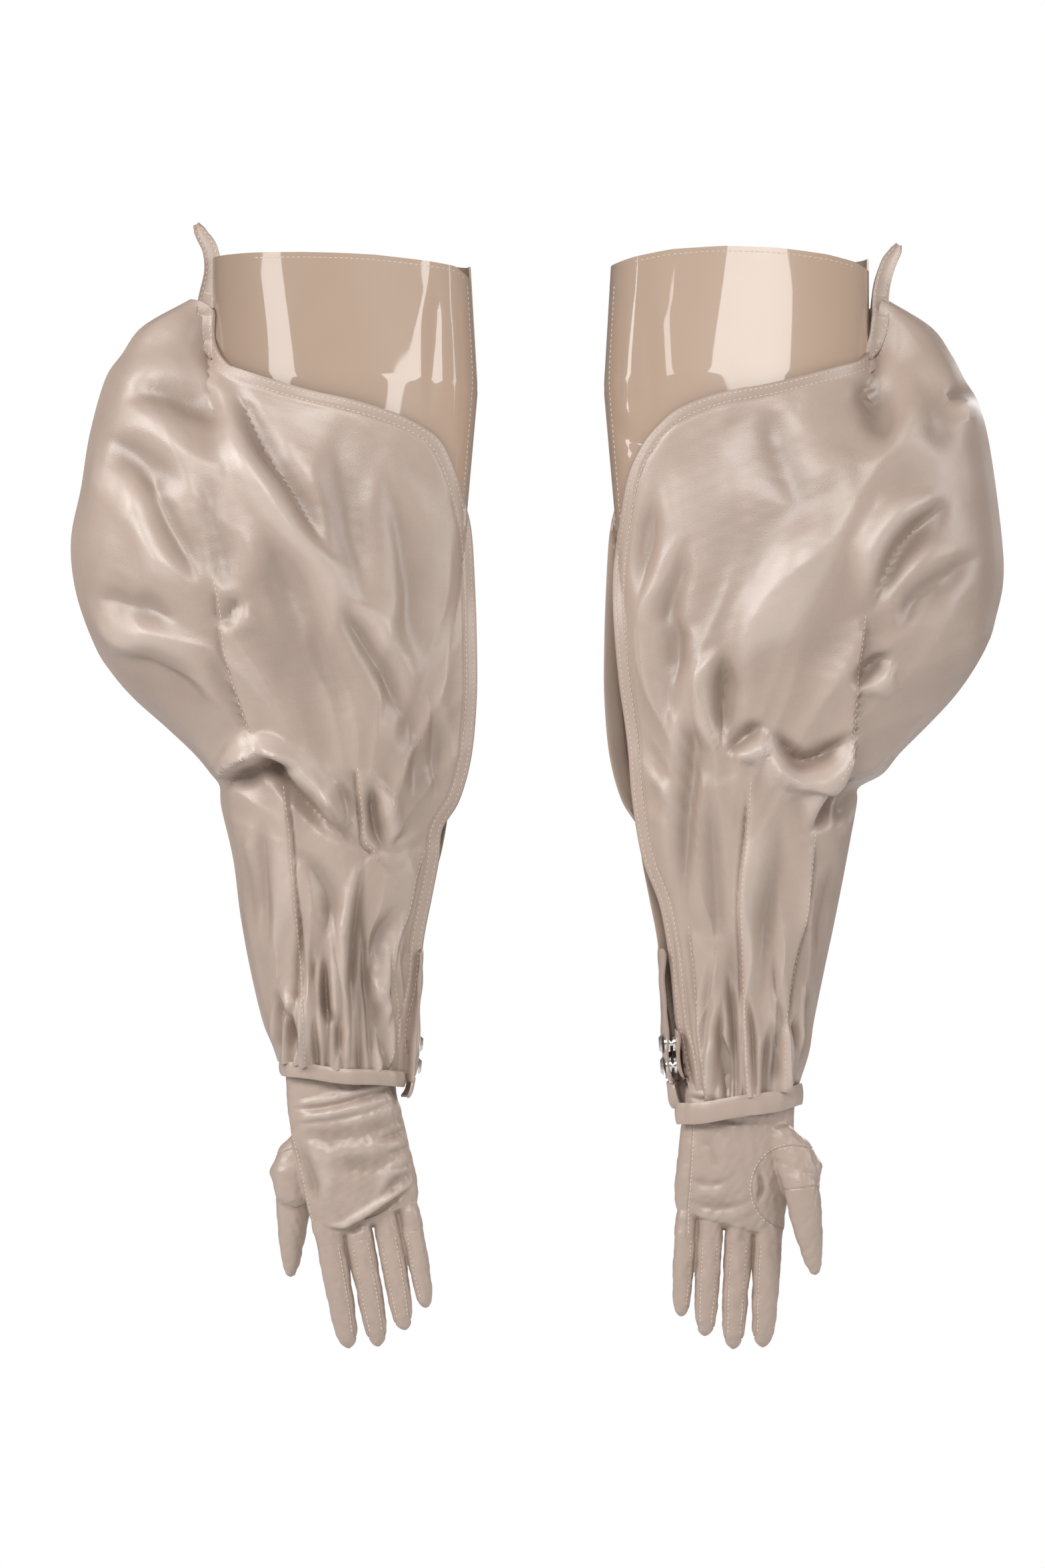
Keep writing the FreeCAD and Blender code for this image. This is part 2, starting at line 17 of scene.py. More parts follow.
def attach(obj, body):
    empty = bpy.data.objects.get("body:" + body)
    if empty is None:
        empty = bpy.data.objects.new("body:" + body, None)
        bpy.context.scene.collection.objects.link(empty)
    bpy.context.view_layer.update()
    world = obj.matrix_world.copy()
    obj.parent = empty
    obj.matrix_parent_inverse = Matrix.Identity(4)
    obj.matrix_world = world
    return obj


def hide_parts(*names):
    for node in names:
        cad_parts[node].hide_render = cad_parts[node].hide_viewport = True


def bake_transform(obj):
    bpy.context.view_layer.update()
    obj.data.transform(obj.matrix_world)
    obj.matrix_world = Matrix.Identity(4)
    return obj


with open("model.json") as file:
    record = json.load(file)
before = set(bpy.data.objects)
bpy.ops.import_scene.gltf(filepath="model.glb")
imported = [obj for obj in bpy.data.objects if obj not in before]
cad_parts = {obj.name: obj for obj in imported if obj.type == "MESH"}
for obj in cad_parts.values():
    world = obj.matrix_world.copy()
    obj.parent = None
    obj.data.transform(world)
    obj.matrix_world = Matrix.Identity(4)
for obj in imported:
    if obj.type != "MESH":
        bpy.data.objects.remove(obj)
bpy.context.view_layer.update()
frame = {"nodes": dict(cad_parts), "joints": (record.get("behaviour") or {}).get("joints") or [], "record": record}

# %% [markdown]
# ## Millimetres and a glove's own frame
# Both gloves are the same pattern, so a shape is written once, in millimetres, in a glove's own
# frame: the origin is the middle of the cuff's mouth, +X is the little finger's side, -Y the back
# of the hand and +Z up the arm. The second glove hangs half a turn round from the first. Where it
# hangs, and where the hand's joints are, is read from the frame's own record.

# %% Places read from the frame
MM = 0.001
GLOVES = ("first", "second")
FACING = {"front": -1, "back": 1}
mounts = {m["name"]: m for m in frame["record"]["mounts"]}
joints = {j["name"]: j for j in frame["joints"]}
SPACING = mounts["second_arm_opening"]["pos_m"][0] / MM


def half_turned(glove, points):
    """Between a glove's own frame and the pair's, in millimetres. It is the same both ways."""
    points = np.asarray(points, float)
    return points * (-1, -1, 1) + (SPACING, 0, 0) if glove == "second" else points


def turned_way(glove, way):
    """The same half turn for a direction."""
    return np.asarray(way, float) * ((-1, -1, 1) if glove == "second" else (1, 1, 1))


def joint_place(glove, name):
    return half_turned(glove, np.array(joints[f"{glove}_{name}"]["pos_m"]) / MM)


# %% The hand's own frame, which hangs from the wrist
WRIST = {glove: joint_place(glove, "wrist_bend") for glove in GLOVES}
HAND_TURN = {}
for glove in GLOVES:
    axis = joints[f"{glove}_index_bend"]["axis"]
    HAND_TURN[glove] = math.atan2(abs(axis[2]), abs(axis[0]))
print("the hands hang at", {g: round(math.degrees(a), 1) for g, a in HAND_TURN.items()}, "degrees")


def swung(points, angle):
    """Points turned about the Y axis, as a hand swings sideways."""
    c, s = math.cos(angle), math.sin(angle)
    x, y, z = np.moveaxis(np.asarray(points, float), -1, 0)
    return np.stack([x * c - z * s, y, x * s + z * c], -1)


def hand_to_glove(glove, points):
    return swung(points, HAND_TURN[glove]) + WRIST[glove]


def glove_to_hand(glove, points):
    return swung(points - WRIST[glove], -HAND_TURN[glove])


# %% [markdown]
# ## Where the fingers stand
# A finger bends about a line that runs across the hand, so it may stand anywhere along that line.
# The knuckles' level and depth are read from the frame. The fingers' middles are written here,
# because this hand is broader at the knuckles than the frame's plain one: they stand up to 5.4 mm
# aside from the frame's joints.

# %% Knuckles and the root of the thumb
FINGER_MIDDLE = {"index": -21.2, "middle": -3.8, "ring": 12.9, "little": 27.5}
FINGERS = tuple(FINGER_MIDDLE)
KNUCKLES = {glove: {} for glove in GLOVES}
for glove in GLOVES:
    for finger in FINGERS:
        place = glove_to_hand(glove, joint_place(glove, f"{finger}_bend"))
        place[0] = FINGER_MIDDLE[finger]
        KNUCKLES[glove][finger] = place
THUMB_ROOT = glove_to_hand("first", joint_place("first", "thumb_spread"))
print("knuckles at", {f: [round(v, 1) for v in p] for f, p in KNUCKLES["first"].items()})

# %% [markdown]
# ## Small tools
# A smooth line through a few points, a soft step and a way to apply a modifier are needed all
# through the lesson. Grids are the start of every panel: a flat grid primitive is added, and its
# points are then moved to where the leather is.

# %% Lines, steps and rows of places


def smooth_line(points, steps=8):
    """A curve that passes through every point (a Catmull-Rom spline)."""
    points = np.asarray(points, float)
    ends = np.vstack([2 * points[0] - points[1], points, 2 * points[-1] - points[-2]])
    t = np.linspace(0, 1, steps, endpoint=False)[:, None]
    spans = []
    for a, b, c, d in zip(ends, ends[1:], ends[2:], ends[3:]):
        bend = (2 * a - 5 * b + 4 * c - d) * t**2 + (3 * b - a - 3 * c + d) * t**3
        spans.append(0.5 * (2 * b + (c - a) * t + bend))
    return np.vstack(spans + [points[-1:]])


def even_points(line, pitch):
    """Points along a line, a pitch apart."""
    gaps = np.linalg.norm(np.diff(line, axis=0), axis=1)
    run = np.concatenate([[0], np.cumsum(gaps)])
    count = max(2, int(run[-1] / pitch))
    wanted = np.linspace(0, run[-1], count)
    return np.stack([np.interp(wanted, run, line[:, i]) for i in range(line.shape[1])], -1)


def soft_step(t):
    t = np.clip(t, 0, 1)
    return t * t * (3 - 2 * t)


def smoothed(values, reach):
    """Each value's mean with its neighbours, a reach of them on both sides."""
    count = 2 * reach + 1
    return np.convolve(np.pad(values, reach, mode="edge"), np.ones(count) / count, "valid")


def as_places(x, y, z):
    """One place per row and column. Each of the three may be the same along a row or a column."""
    return np.stack(np.broadcast_arrays(x, y, z), -1)


# %% Handling a piece
def deselect():
    bpy.ops.object.select_all(action="DESELECT")


def make_active(piece):
    deselect()
    piece.select_set(True)
    bpy.context.view_layer.objects.active = piece


def apply_modifier(piece, kind, **settings):
    make_active(piece)
    modifier = piece.modifiers.new(kind.title(), kind)
    for name, value in settings.items():
        setattr(modifier, name, value)
    bpy.ops.object.modifier_apply(modifier=modifier.name)


def name_piece(name):
    piece = bpy.context.object
    piece.name = name
    piece.data.name = name
    return piece


def set_points(piece, points_mm):
    piece.data.vertices.foreach_set("co", (np.asarray(points_mm) * MM).astype(np.float32).ravel())
    piece.data.update()


def get_points(piece):
    co = np.empty(len(piece.data.vertices) * 3, np.float32)
    piece.data.vertices.foreach_get("co", co)
    return co.reshape(-1, 3).astype(float) / MM


def store(piece, name, values):
    """Keeps a number per point, for a material to read."""
    layer = piece.data.attributes.new(name, "FLOAT", "POINT")
    layer.data.foreach_set("value", np.asarray(values, np.float32).ravel())


def smooth_shade(piece, angle=40):
    make_active(piece)
    bpy.ops.object.shade_smooth_by_angle(angle=math.radians(angle))

# %% [markdown]
# ## Materials
# The leather is soft, with a fine pebble grain and a satin sheen; shade is painted into the folds'
# valleys, and their ridges are made paler. What several finishes share, grain and a tone with this
# painted shade, is kept in node groups. The patent leather has the same colour under a thick gloss.

# %% Helpers for node trees


def add_node(tree, kind, inputs=None, **settings):
    """A shader node. Inputs go by name or number, and are values or other nodes' sockets."""
    node = tree.nodes.new(f"ShaderNode{kind}")
    for name, value in settings.items():
        setattr(node, name, value)
    for name, value in (inputs or {}).items():
        if isinstance(value, bpy.types.NodeSocket):
            tree.links.new(value, node.inputs[name])
        else:
            node.inputs[name].default_value = value
    return node


def math_result(tree, operation, *values, **settings):
    return add_node(tree, "Math", dict(enumerate(values)), operation=operation, **settings).outputs[0]


def ranged(tree, value, low, high, to_low, to_high):
    """A value's share of the way from low to high, on a new scale."""
    sockets = {"Value": value, "From Min": low, "From Max": high, "To Min": to_low, "To Max": to_high}
    return add_node(tree, "MapRange", sockets).outputs[0]


def mixed_color(tree, share, color, other):
    return add_node(tree, "Mix", {0: share, 6: color, 7: other}, data_type="RGBA").outputs[2]


def node_group(name, inputs, outputs):
    tree = bpy.data.node_groups.new(name, "ShaderNodeTree")
    for socket, kind, value in inputs:
        made = tree.interface.new_socket(socket, in_out="INPUT", socket_type=f"NodeSocket{kind}")
        made.default_value = value
    for socket, kind in outputs:
        tree.interface.new_socket(socket, in_out="OUTPUT", socket_type=f"NodeSocket{kind}")
    return tree, tree.nodes.new("NodeGroupInput"), tree.nodes.new("NodeGroupOutput")


# %% A pebble grain group
GRAIN_BEND = (0.0012, 0.0012, 0.0012)


def make_grain():
    """Small domes with fine creases between them, on a field bent so that no rows show."""
    tree, given, put = node_group("pebble_grain", [("Pebbles", "Float", 1100.0)], [("Height", "Float")])
    where = add_node(tree, "TexCoord").outputs["Object"]
    warp = add_node(tree, "TexNoise", {"Vector": where, "Scale": 420.0, "Detail": 1.0})
    bent = add_node(tree, "VectorMath", {0: warp.outputs["Color"], 1: GRAIN_BEND, 2: where},
                    operation="MULTIPLY_ADD")
    cells = add_node(tree, "TexVoronoi", {"Vector": bent.outputs[0], "Scale": given.outputs["Pebbles"]},
                     feature="SMOOTH_F1")
    cells.inputs["Smoothness"].default_value = 0.35
    domes = math_result(tree, "SUBTRACT", 1.0, cells.outputs["Distance"])
    creases = add_node(tree, "TexNoise", {"Vector": where, "Scale": 150.0, "Detail": 3.0, "Roughness": 0.6})
    height = math_result(tree, "MULTIPLY_ADD", creases.outputs["Fac"], 0.7, domes)
    tree.links.new(height, put.inputs["Height"])
    return tree


# %% A tone group with painted fold shade
def make_tone():
    """A colour with shade painted into the fold valleys, darker in faint clouds of uneven tone and paler on the
    ridges, by the fold number.
    """
    tree, given, put = node_group(
        "tone_and_painted_fold_shade",
        [("Color", "Color", (0.5, 0.4, 0.3, 1)), ("Deep", "Color", (0.3, 0.2, 0.15, 1)),
         ("RidgeColor", "Color", (0.6, 0.5, 0.4, 1)), ("Roughness", "Float", 0.45), ("Change", "Float", 1.0)],
        [("Color", "Color"), ("Roughness", "Float")],
    )
    where = add_node(tree, "TexCoord").outputs["Object"]
    fold = add_node(tree, "Attribute", attribute_name="fold").outputs["Fac"]
    cloud = add_node(tree, "TexNoise", {"Vector": where, "Scale": 14.0, "Detail": 4.0, "Roughness": 0.55})
    cloudy = ranged(tree, cloud.outputs["Fac"], 0.35, 0.65, 0.0, 0.14)
    # Painted shade: the deeper a fold's valley, the darker its colour.
    painted_valley_shade = ranged(tree, fold, -0.2, -3.5, 0.0, 0.45)
    darker = math_result(tree, "ADD", cloudy, painted_valley_shade)
    share = math_result(tree, "MULTIPLY", darker, given.outputs["Change"], use_clamp=True)
    deep = mixed_color(tree, share, given.outputs["Color"], given.outputs["Deep"])
    # The fold ridges are made paler, toward the ridge colour.
    ridge = ranged(tree, fold, 0.3, 3.0, 0.0, 0.5)
    pale = mixed_color(tree, ridge, deep, given.outputs["RidgeColor"])
    tree.links.new(pale, put.inputs["Color"])
    patch = add_node(tree, "TexNoise", {"Vector": where, "Scale": 45.0, "Detail": 3.0})
    uneven = ranged(tree, patch.outputs["Fac"], 0.3, 0.7, -0.04, 0.05)
    rough = math_result(tree, "ADD", given.outputs["Roughness"], uneven)
    tree.links.new(rough, put.inputs["Roughness"])
    return tree


GRAIN, TONE = make_grain(), make_tone()


# %% Leather, patent leather, lining, thread and nickel
def leather_material(name, color, deep, ridge_color, roughness, pebbles, bump, change=1.0, shine=None):
    """A finish of tone with painted fold shade, and pebble grain. Shine gives the shader's own plain settings."""
    material = bpy.data.materials.new(name)
    material.use_nodes = True
    tree = material.node_tree
    shader = tree.nodes["Principled BSDF"]
    tone_inputs = {"Color": (*color, 1), "Deep": (*deep, 1), "RidgeColor": (*ridge_color, 1),
                   "Roughness": roughness, "Change": change}
    tone = add_node(tree, "Group", tone_inputs, node_tree=TONE)
    grain = add_node(tree, "Group", {"Pebbles": pebbles}, node_tree=GRAIN)
    push = add_node(tree, "Bump", {"Height": grain.outputs["Height"], "Strength": bump, "Distance": 0.0004})
    tree.links.new(tone.outputs["Color"], shader.inputs["Base Color"])
    tree.links.new(tone.outputs["Roughness"], shader.inputs["Roughness"])
    tree.links.new(push.outputs["Normal"], shader.inputs["Normal"])
    for socket, value in (shine or {}).items():
        shader.inputs[socket].default_value = value
    return material


# Each finish's second colour is both the darker tone of its clouds and the painted shade of its fold valleys; the
# third is its ridges' paler colour.
LEATHER = leather_material(
    "soft_leather", (0.415, 0.318, 0.262), (0.225, 0.163, 0.128), (0.55, 0.452, 0.395), 0.40, 1150.0, 0.18,
    shine={"Specular IOR Level": 0.62, "Coat Weight": 0.28, "Coat Roughness": 0.34})
PATENT = leather_material(
    "patent_leather", (0.545, 0.392, 0.292), (0.48, 0.335, 0.245), (0.57, 0.42, 0.315), 0.40, 60.0, 0.02,
    change=0.2, shine={"Coat Weight": 1.0, "Coat Roughness": 0.035})
LINING = leather_material(
    "lining_leather", (0.47, 0.345, 0.262), (0.32, 0.22, 0.16), (0.5, 0.38, 0.30), 0.62, 900.0, 0.18)
THREAD = leather_material(
    "waxed_thread", (0.66, 0.55, 0.45), (0.50, 0.40, 0.31), (0.72, 0.62, 0.53), 0.5, 2400.0, 0.4)
NICKEL = leather_material(
    "polished_nickel", (0.78, 0.77, 0.75), (0.60, 0.59, 0.57), (0.86, 0.85, 0.83), 0.20, 260.0, 0.03,
    shine={"Metallic": 1.0})
print(len(bpy.data.materials), "materials")


def finish(piece, material):
    piece.data.materials.clear()
    piece.data.materials.append(material)


# %% [markdown]
# ## Folding leather
# A panel starts as a smooth puffed surface. Each fold is then pressed into it along a line drawn
# on the panel: a groove that is part soft and part crisp, with a raised lip beside it, getting
# narrower and fading out at both ends. This gives each fold its own place, as on the real sleeve,
# where a cloth simulation would put folds at random. Heights are kept, so that the material can
# paint shade into the valleys and make the ridges paler.

# %% The distance from a line
def beside_line(x, z, line):
    """How far each point is from a line (plus on the left of its way), and how far along it."""
    best = np.full(x.shape, 1e9)
    side = np.zeros(x.shape)
    along = np.zeros(x.shape)
    gaps = np.linalg.norm(np.diff(line, axis=0), axis=1)
    total = gaps.sum()
    start = 0.0
    for a, b, gap in zip(line, line[1:], gaps):
        if gap < 1e-9:
            continue
        way = (b - a) / gap
        t = np.clip((x - a[0]) * way[0] + (z - a[1]) * way[1], 0, gap)
        dx, dz = x - a[0] - t * way[0], z - a[1] - t * way[1]
        far = np.hypot(dx, dz)
        near = far < best
        best = np.where(near, far, best)
        side = np.where(near, np.sign(way[0] * dz - way[1] * dx), side)
        along = np.where(near, (start + t) / total, along)
        start += gap
    return best * np.where(side == 0, 1, side), along


# %% One fold, one dart
LIP_AT, LIP_WIDE = 1.7, 1.2
CUSP = 1.5
NARROW = 0.45
DART_WIDE, DART_GROOVE, DART_FADE = 2.2, 1.7, 0.12


def press_fold(height, x, z, points, depth, width, sharp=0.4, lip=0.5, lean=0, fade=0.38):
    """Presses one fold into the heights. Lean says on which side the lip stands: 1, -1, or 0 for both."""
    line = smooth_line(points)
    low, high = line.min(0) - 4 * width, line.max(0) + 4 * width
    near = (x > low[0]) & (x < high[0]) & (z > low[1]) & (z < high[1])
    if not near.any():
        return
    off, along = beside_line(x[near], z[near], line)
    ends = soft_step(along / fade) * soft_step((1 - along) / fade)
    off = off / (NARROW + (1 - NARROW) * ends)
    crisp = np.exp(-(np.hypot(off, CUSP) - CUSP) / (0.45 * width))
    groove = (1 - sharp) * np.exp(-(off / width) ** 2) + sharp * crisp
    left = np.exp(-((off - LIP_AT * width) / (LIP_WIDE * width)) ** 2)
    right = np.exp(-((off + LIP_AT * width) / (LIP_WIDE * width)) ** 2)
    ridge = {1: left, -1: right, 0: 0.5 * (left + right)}[lean]
    height[near] += depth * ends * (lip * ridge - groove)


def press_dart(height, x, z, points, rise):
    """A sewn dart: one side stands higher than the other, with a fine groove between them."""
    off, along = beside_line(x, z, smooth_line(points))
    reach = np.exp(-(off / (5 * DART_WIDE)) ** 2)
    ends = soft_step(along / DART_FADE) * soft_step((1 - along) / (0.5 * DART_FADE) + 0.3)
    groove = DART_GROOVE * np.exp(-(off / (0.6 * DART_WIDE)) ** 2)
    height += ends * (rise * np.tanh(off / DART_WIDE) * reach - groove)


# %% Ripples, and folds that fan out
HANG_ROOT = (8, -352)
HANG_LOBES, HANG_HIGH = 9, 1.9


def ripples(x, z, size, seed, waves=10):
    """Low, uneven waves in every direction, about one millimetre high."""
    draw = np.random.default_rng(seed)
    total = np.zeros_like(x)
    for _ in range(waves):
        angle, phase = draw.uniform(0, 2 * math.pi, 2)
        step = size * draw.uniform(0.6, 1.5)
        total += np.sin(2 * math.pi * (x * math.cos(angle) + z * math.sin(angle)) / step + phase)
    return total / math.sqrt(waves)


def hanging_folds(x, z, seed):
    """Long folds that fan out from the place where the leather is drawn together."""
    angle = np.arctan2(x - HANG_ROOT[0], z - HANG_ROOT[1])
    reach = np.hypot(x - HANG_ROOT[0], z - HANG_ROOT[1])
    draw = np.random.default_rng(seed)
    total = np.zeros_like(x)
    for number in range(3):
        phase, bend = draw.uniform(0, 2 * math.pi, 2)
        count = HANG_LOBES * (0.7 + 0.45 * number)
        wander = 0.9 * np.sin(reach / 55 + bend)
        wave = np.sin(count * angle + phase + wander + 0.5 * ripples(x, z, 120, seed + 7))
        crest = 1 - 2 * np.abs(wave) ** 0.75
        total += crest * (0.55 + 0.45 * np.sin(reach / 38 + 2 * angle + bend)) / (1 + 0.6 * number)
    return HANG_HIGH * total * soft_step(reach / 90)


# %% [markdown]
# ## The sleeve's outlines
# Each outline is a short list of points in the glove's frame, joined by a smooth curve: the seam
# on the thumb's side, the open edge from the tab down to the band, and the band's top line. The
# two gloves hang a little differently, so each has its own seam line and band line. Two more
# tables say how deep the puff is on each level, and how wide and deep the inner glove is there.

# %% Outlines of the sleeve
SEAM = {
    "first": [(-21, -89), (-37, -117), (-53, -129), (-68, -139), (-100, -148), (-131, -153), (-162, -159),
              (-193, -156), (-224, -145), (-240, -135), (-255, -122), (-271, -104), (-287, -87), (-299, -77),
              (-306, -72), (-318, -71), (-349, -64), (-380, -60), (-411, -54.5), (-443, -47), (-458, -41),
              (-470, -37)],
    "second": [(-21, -86), (-37, -112), (-53, -124), (-68, -132), (-84, -141), (-115, -148), (-177, -155),
               (-209, -150), (-224, -145), (-240, -136), (-255, -125), (-271, -110), (-287, -94), (-299, -84),
               (-307, -70), (-316, -69), (-349, -63), (-380, -57), (-411, -50.5), (-443, -44),
               (-462, -41), (-484, -34)],
}
EDGE = {
    "front": [(-82, -23), (-75, -29), (-75, -46), (-67, -60), (-57, -66), (-20, -78), (6, -84), (27, -90),
              (42, -96),
              (57, -106), (66, -124), (71, -140), (75, -158), (77, -190), (78, -222), (78, -254), (75, -288),
              (68, -314), (58, -331), (56, -349), (52, -370), (47, -396), (44, -425), (39, -445), (38, -474)],
    "back": [(-82, -23), (-81, -32), (-80, -43), (-75, -54), (-65, -61), (-42, -68), (-15, -75),
             (12, -80), (35, -88),
             (47, -97), (57, -109), (65, -127), (70, -155), (73, -181), (73, -208), (70, -244), (65, -280),
             (62, -315), (56, -349), (46, -376), (40, -411), (37, -443), (32, -465), (29, -488)],
}
# The band's top line: its height on the glove's middle, and its slope.
BAND_TOP = {"first": (-470.5, -0.09), "second": (-487, -0.155)}
# Level, half depth of the puff.
PUFF_DEPTH = [(-21, 30), (-45, 38), (-75, 44), (-115, 50), (-160, 55), (-205, 55), (-240, 52), (-270, 47),
              (-300, 42), (-335, 38), (-380, 35), (-425, 31), (-452, 27), (-473, 23), (-500, 22)]
# Level, left side, right side, half depth of the inner glove.
INNER = [(0, -76, 75, 33), (-70, -76, 79, 34), (-190, -66, 69, 30), (-300, -48, 50, 26), (-400, -37, 38, 21),
         (-464, -30, 31, 16.5), (-487, -25, 25, 10)]


def read_curve(table, at):
    """A smooth curve through a table of (place, value), read at some places. Places fall."""
    line = smooth_line(table)
    return np.interp(-np.asarray(at, float), -line[:, 0], line[:, 1])


def inner_oval(z):
    """Left side, right side and half depth of the inner glove on a level."""
    levels = np.array(INNER, float)
    return [np.interp(-np.asarray(z, float), -levels[:, 0], levels[:, i]) for i in (1, 2, 3)]


def inner_depth(x, z):
    left, right, deep = inner_oval(z)
    share = (x - (left + right) / 2) / ((right - left) / 2)
    return deep * np.sqrt(np.clip(1 - share**2, 0, 1))


def band_line(glove, x):
    height, slope = BAND_TOP[glove]
    return height + slope * x


# %% [markdown]
# ## The folds of each panel
# The back of the hand's panel and the palm's panel each have long sewn darts that take in the
# puff, deep diagonal folds where its weight hangs from the neckline, and gathers above the band.

# %% Folds of the front panel
# Points of the fold's line, depth and width in millimetres, how crisp it is, its lip's share of
# the depth, and the lip's side.
FRONT_FOLDS = [
    ([(-64, -65), (-54, -89), (-40, -115), (-25, -138), (-12, -163), (5, -180)], 6.5, 8, 0.35, 0.7, -1),
    ([(-128, -84), (-106, -80), (-84, -86), (-64, -100)], 3.2, 9, 0.3, 0.6, 1),
    ([(-140, -100), (-125, -112), (-100, -128), (-88, -140)], 3.5, 12, 0.1, 0.5, 0),
    ([(-122, -112), (-108, -134), (-97, -158), (-85, -178), (-74, -200)], 3.8, 8, 0.35, 0.7, -1),
    ([(-80, -120), (-72, -150), (-66, -176), (-63, -206)], 2.6, 9, 0.2, 0.5, 1),
    ([(26, -115), (33, -152), (36, -175), (39, -191), (39, -224)], 2.5, 9, 0.2, 0.4, 0),
    ([(-6, -100), (4, -140), (10, -180), (14, -215)], 3, 12, 0.1, 0.4, 0),
    ([(5, -190), (5, -206), (16, -224), (28, -244), (38, -270)], 4.5, 7, 0.4, 0.6, 1),
    ([(-54, -196), (-62, -207), (-66, -220)], 3.5, 6, 0.3, 0.5, 1),
    ([(-43, -150), (-30, -185), (-14, -220), (0, -250), (8, -275)], 3.5, 13, 0.1, 0.5, 1),
    ([(-150, -190), (-130, -200), (-110, -205), (-90, -215)], 3.5, 10, 0.2, 0.5, -1),
    ([(-138, -232), (-114, -234), (-92, -246), (-70, -268)], 3, 8, 0.3, 0.6, 1),
    ([(-74, -308), (-58, -301), (-38, -295), (-20, -297)], 6.5, 6, 0.45, 1.1, 1),
    ([(-53, -275), (-43, -289), (-28, -307), (-11, -323), (9, -339), (16, -346)], 6.5, 6, 0.5, 1.0, 1),
    ([(-45, -320), (-45, -351), (-43, -384), (-42, -404)], 3.5, 6, 0.35, 0.5, 0),
    ([(-60, -330), (-56, -362), (-50, -395)], 3, 7, 0.3, 0.5, 0),
    ([(14, -344), (14, -353), (11, -372), (9, -400), (7, -425), (6, -476)], 4.5, 4.5, 0.6, 0.8, -1),
    ([(35, -372), (22, -394), (16, -420), (14, -440)], 3.5, 6, 0.4, 0.6, 1),
    ([(-34, -415), (-37, -430), (-30, -446), (-24, -474)], 4.5, 4.5, 0.45, 0.7, 1),
    ([(-10, -405), (-8, -433), (-2, -448), (-4, -476)], 4, 4.5, 0.5, 0.7, -1),
    ([(17, -420), (22, -443), (26, -474)], 4, 4.5, 0.5, 0.7, 1),
    ([(-1, -300), (4, -322), (6, -338)], 4.5, 5, 0.4, 0.8, -1),
    ([(18, -300), (20, -320), (24, -338), (30, -346)], 5, 5, 0.4, 0.8, 1),
    ([(40, -255), (44, -285), (44, -315)], 3, 8, 0.2, 0.4, -1),
    ([(51, -248), (56, -280), (56, -316)], 2.5, 5, 0.5, 0.4, 1),
    ([(-30, -340), (-16, -352), (-6, -372), (-4, -400)], 3, 7, 0.3, 0.5, -1),
]
FRONT_DARTS = [
    ([(-73, -186), (-69, -207), (-66, -234), (-59, -258), (-53, -276)], 1.2),
    ([(-31, -305), (-28, -328), (-25, -367), (-22, -400), (-20, -433), (-19, -474)], -1.2),
    ([(9, -295), (11, -318), (13, -338), (20, -346)], 1.2),
    ([(50, -343), (45, -361), (41, -380), (33, -400), (32, -415), (35, -438), (34, -456), (27, -474)], -1.4),
]

# %% Folds of the back panel
# The first of them has a minus depth: it is a long swelling.
BACK_FOLDS = [
    ([(-48, -139), (-28, -183), (-5, -224), (6, -250)], -4.5, 16, 0.0, 0.3, 0),
    ([(-122, -139), (-107, -152), (-92, -168), (-81, -188), (-73, -209)], 6, 8, 0.4, 0.8, 1),
    ([(-119, -78), (-130, -77), (-142, -74)], 4.5, 6, 0.4, 0.7, 1),
    ([(-86, -229), (-71, -240), (-60, -252)], 5, 6, 0.4, 0.7, -1),
    ([(31, -160), (37, -183), (44, -205), (46, -226)], 3, 7, 0.3, 0.5, 0),
    ([(49, -130), (55, -167), (59, -205)], 2.5, 6, 0.3, 0.5, 0),
    ([(39, -205), (39, -228), (39, -250)], 2.5, 6, 0.3, 0.5, 0),
    ([(31, -230), (29, -280), (33, -323), (34, -355), (32, -390)], 3.5, 6, 0.35, 0.5, 1),
    ([(10, -225), (14, -255), (13, -275), (10, -288)], 5.5, 7, 0.35, 0.7, 1),
    ([(10, -288), (3, -281), (-6, -274), (-14, -271)], 5, 6, 0.4, 0.9, 1),
    ([(-14, -271), (-23, -283), (-33, -293), (-46, -290), (-56, -282), (-66, -270)], 6.5, 6, 0.4, 1.0, 1),
    ([(-64, -300), (-54, -312), (-46, -325), (-40, -334)], 6, 5, 0.5, 0.9, 1),
    ([(-74, -300), (-60, -322), (-52, -331)], 4.5, 5, 0.4, 0.7, -1),
    ([(11, -448), (10, -470), (10, -492)], 4, 4.5, 0.5, 0.7, 1),
    ([(-16, -436), (-20, -461), (-17, -492)], 4, 4.5, 0.5, 0.7, -1),
    ([(-39, -415), (-40, -441), (-35, -488)], 4, 4.5, 0.5, 0.7, 1),
    ([(-66, -60), (-78, -85), (-84, -115)], 3.5, 10, 0.15, 0.5, 0),
    ([(-14, -84), (-22, -120), (-34, -150)], 2.5, 12, 0.1, 0.4, 0),
    ([(-100, -60), (-112, -90), (-118, -120)], 3, 12, 0.1, 0.4, 0),
    ([(20, -300), (18, -340), (16, -385), (16, -420)], 2.5, 7, 0.3, 0.5, -1),
    ([(-22, -320), (-20, -350), (-14, -385), (-10, -420)], 3, 8, 0.25, 0.5, 1),
    ([(-56, -345), (-52, -375), (-46, -405)], 3, 6, 0.3, 0.5, 0),
    ([(-140, -170), (-120, -185), (-100, -200), (-88, -222)], 3.5, 9, 0.2, 0.6, 1),
]
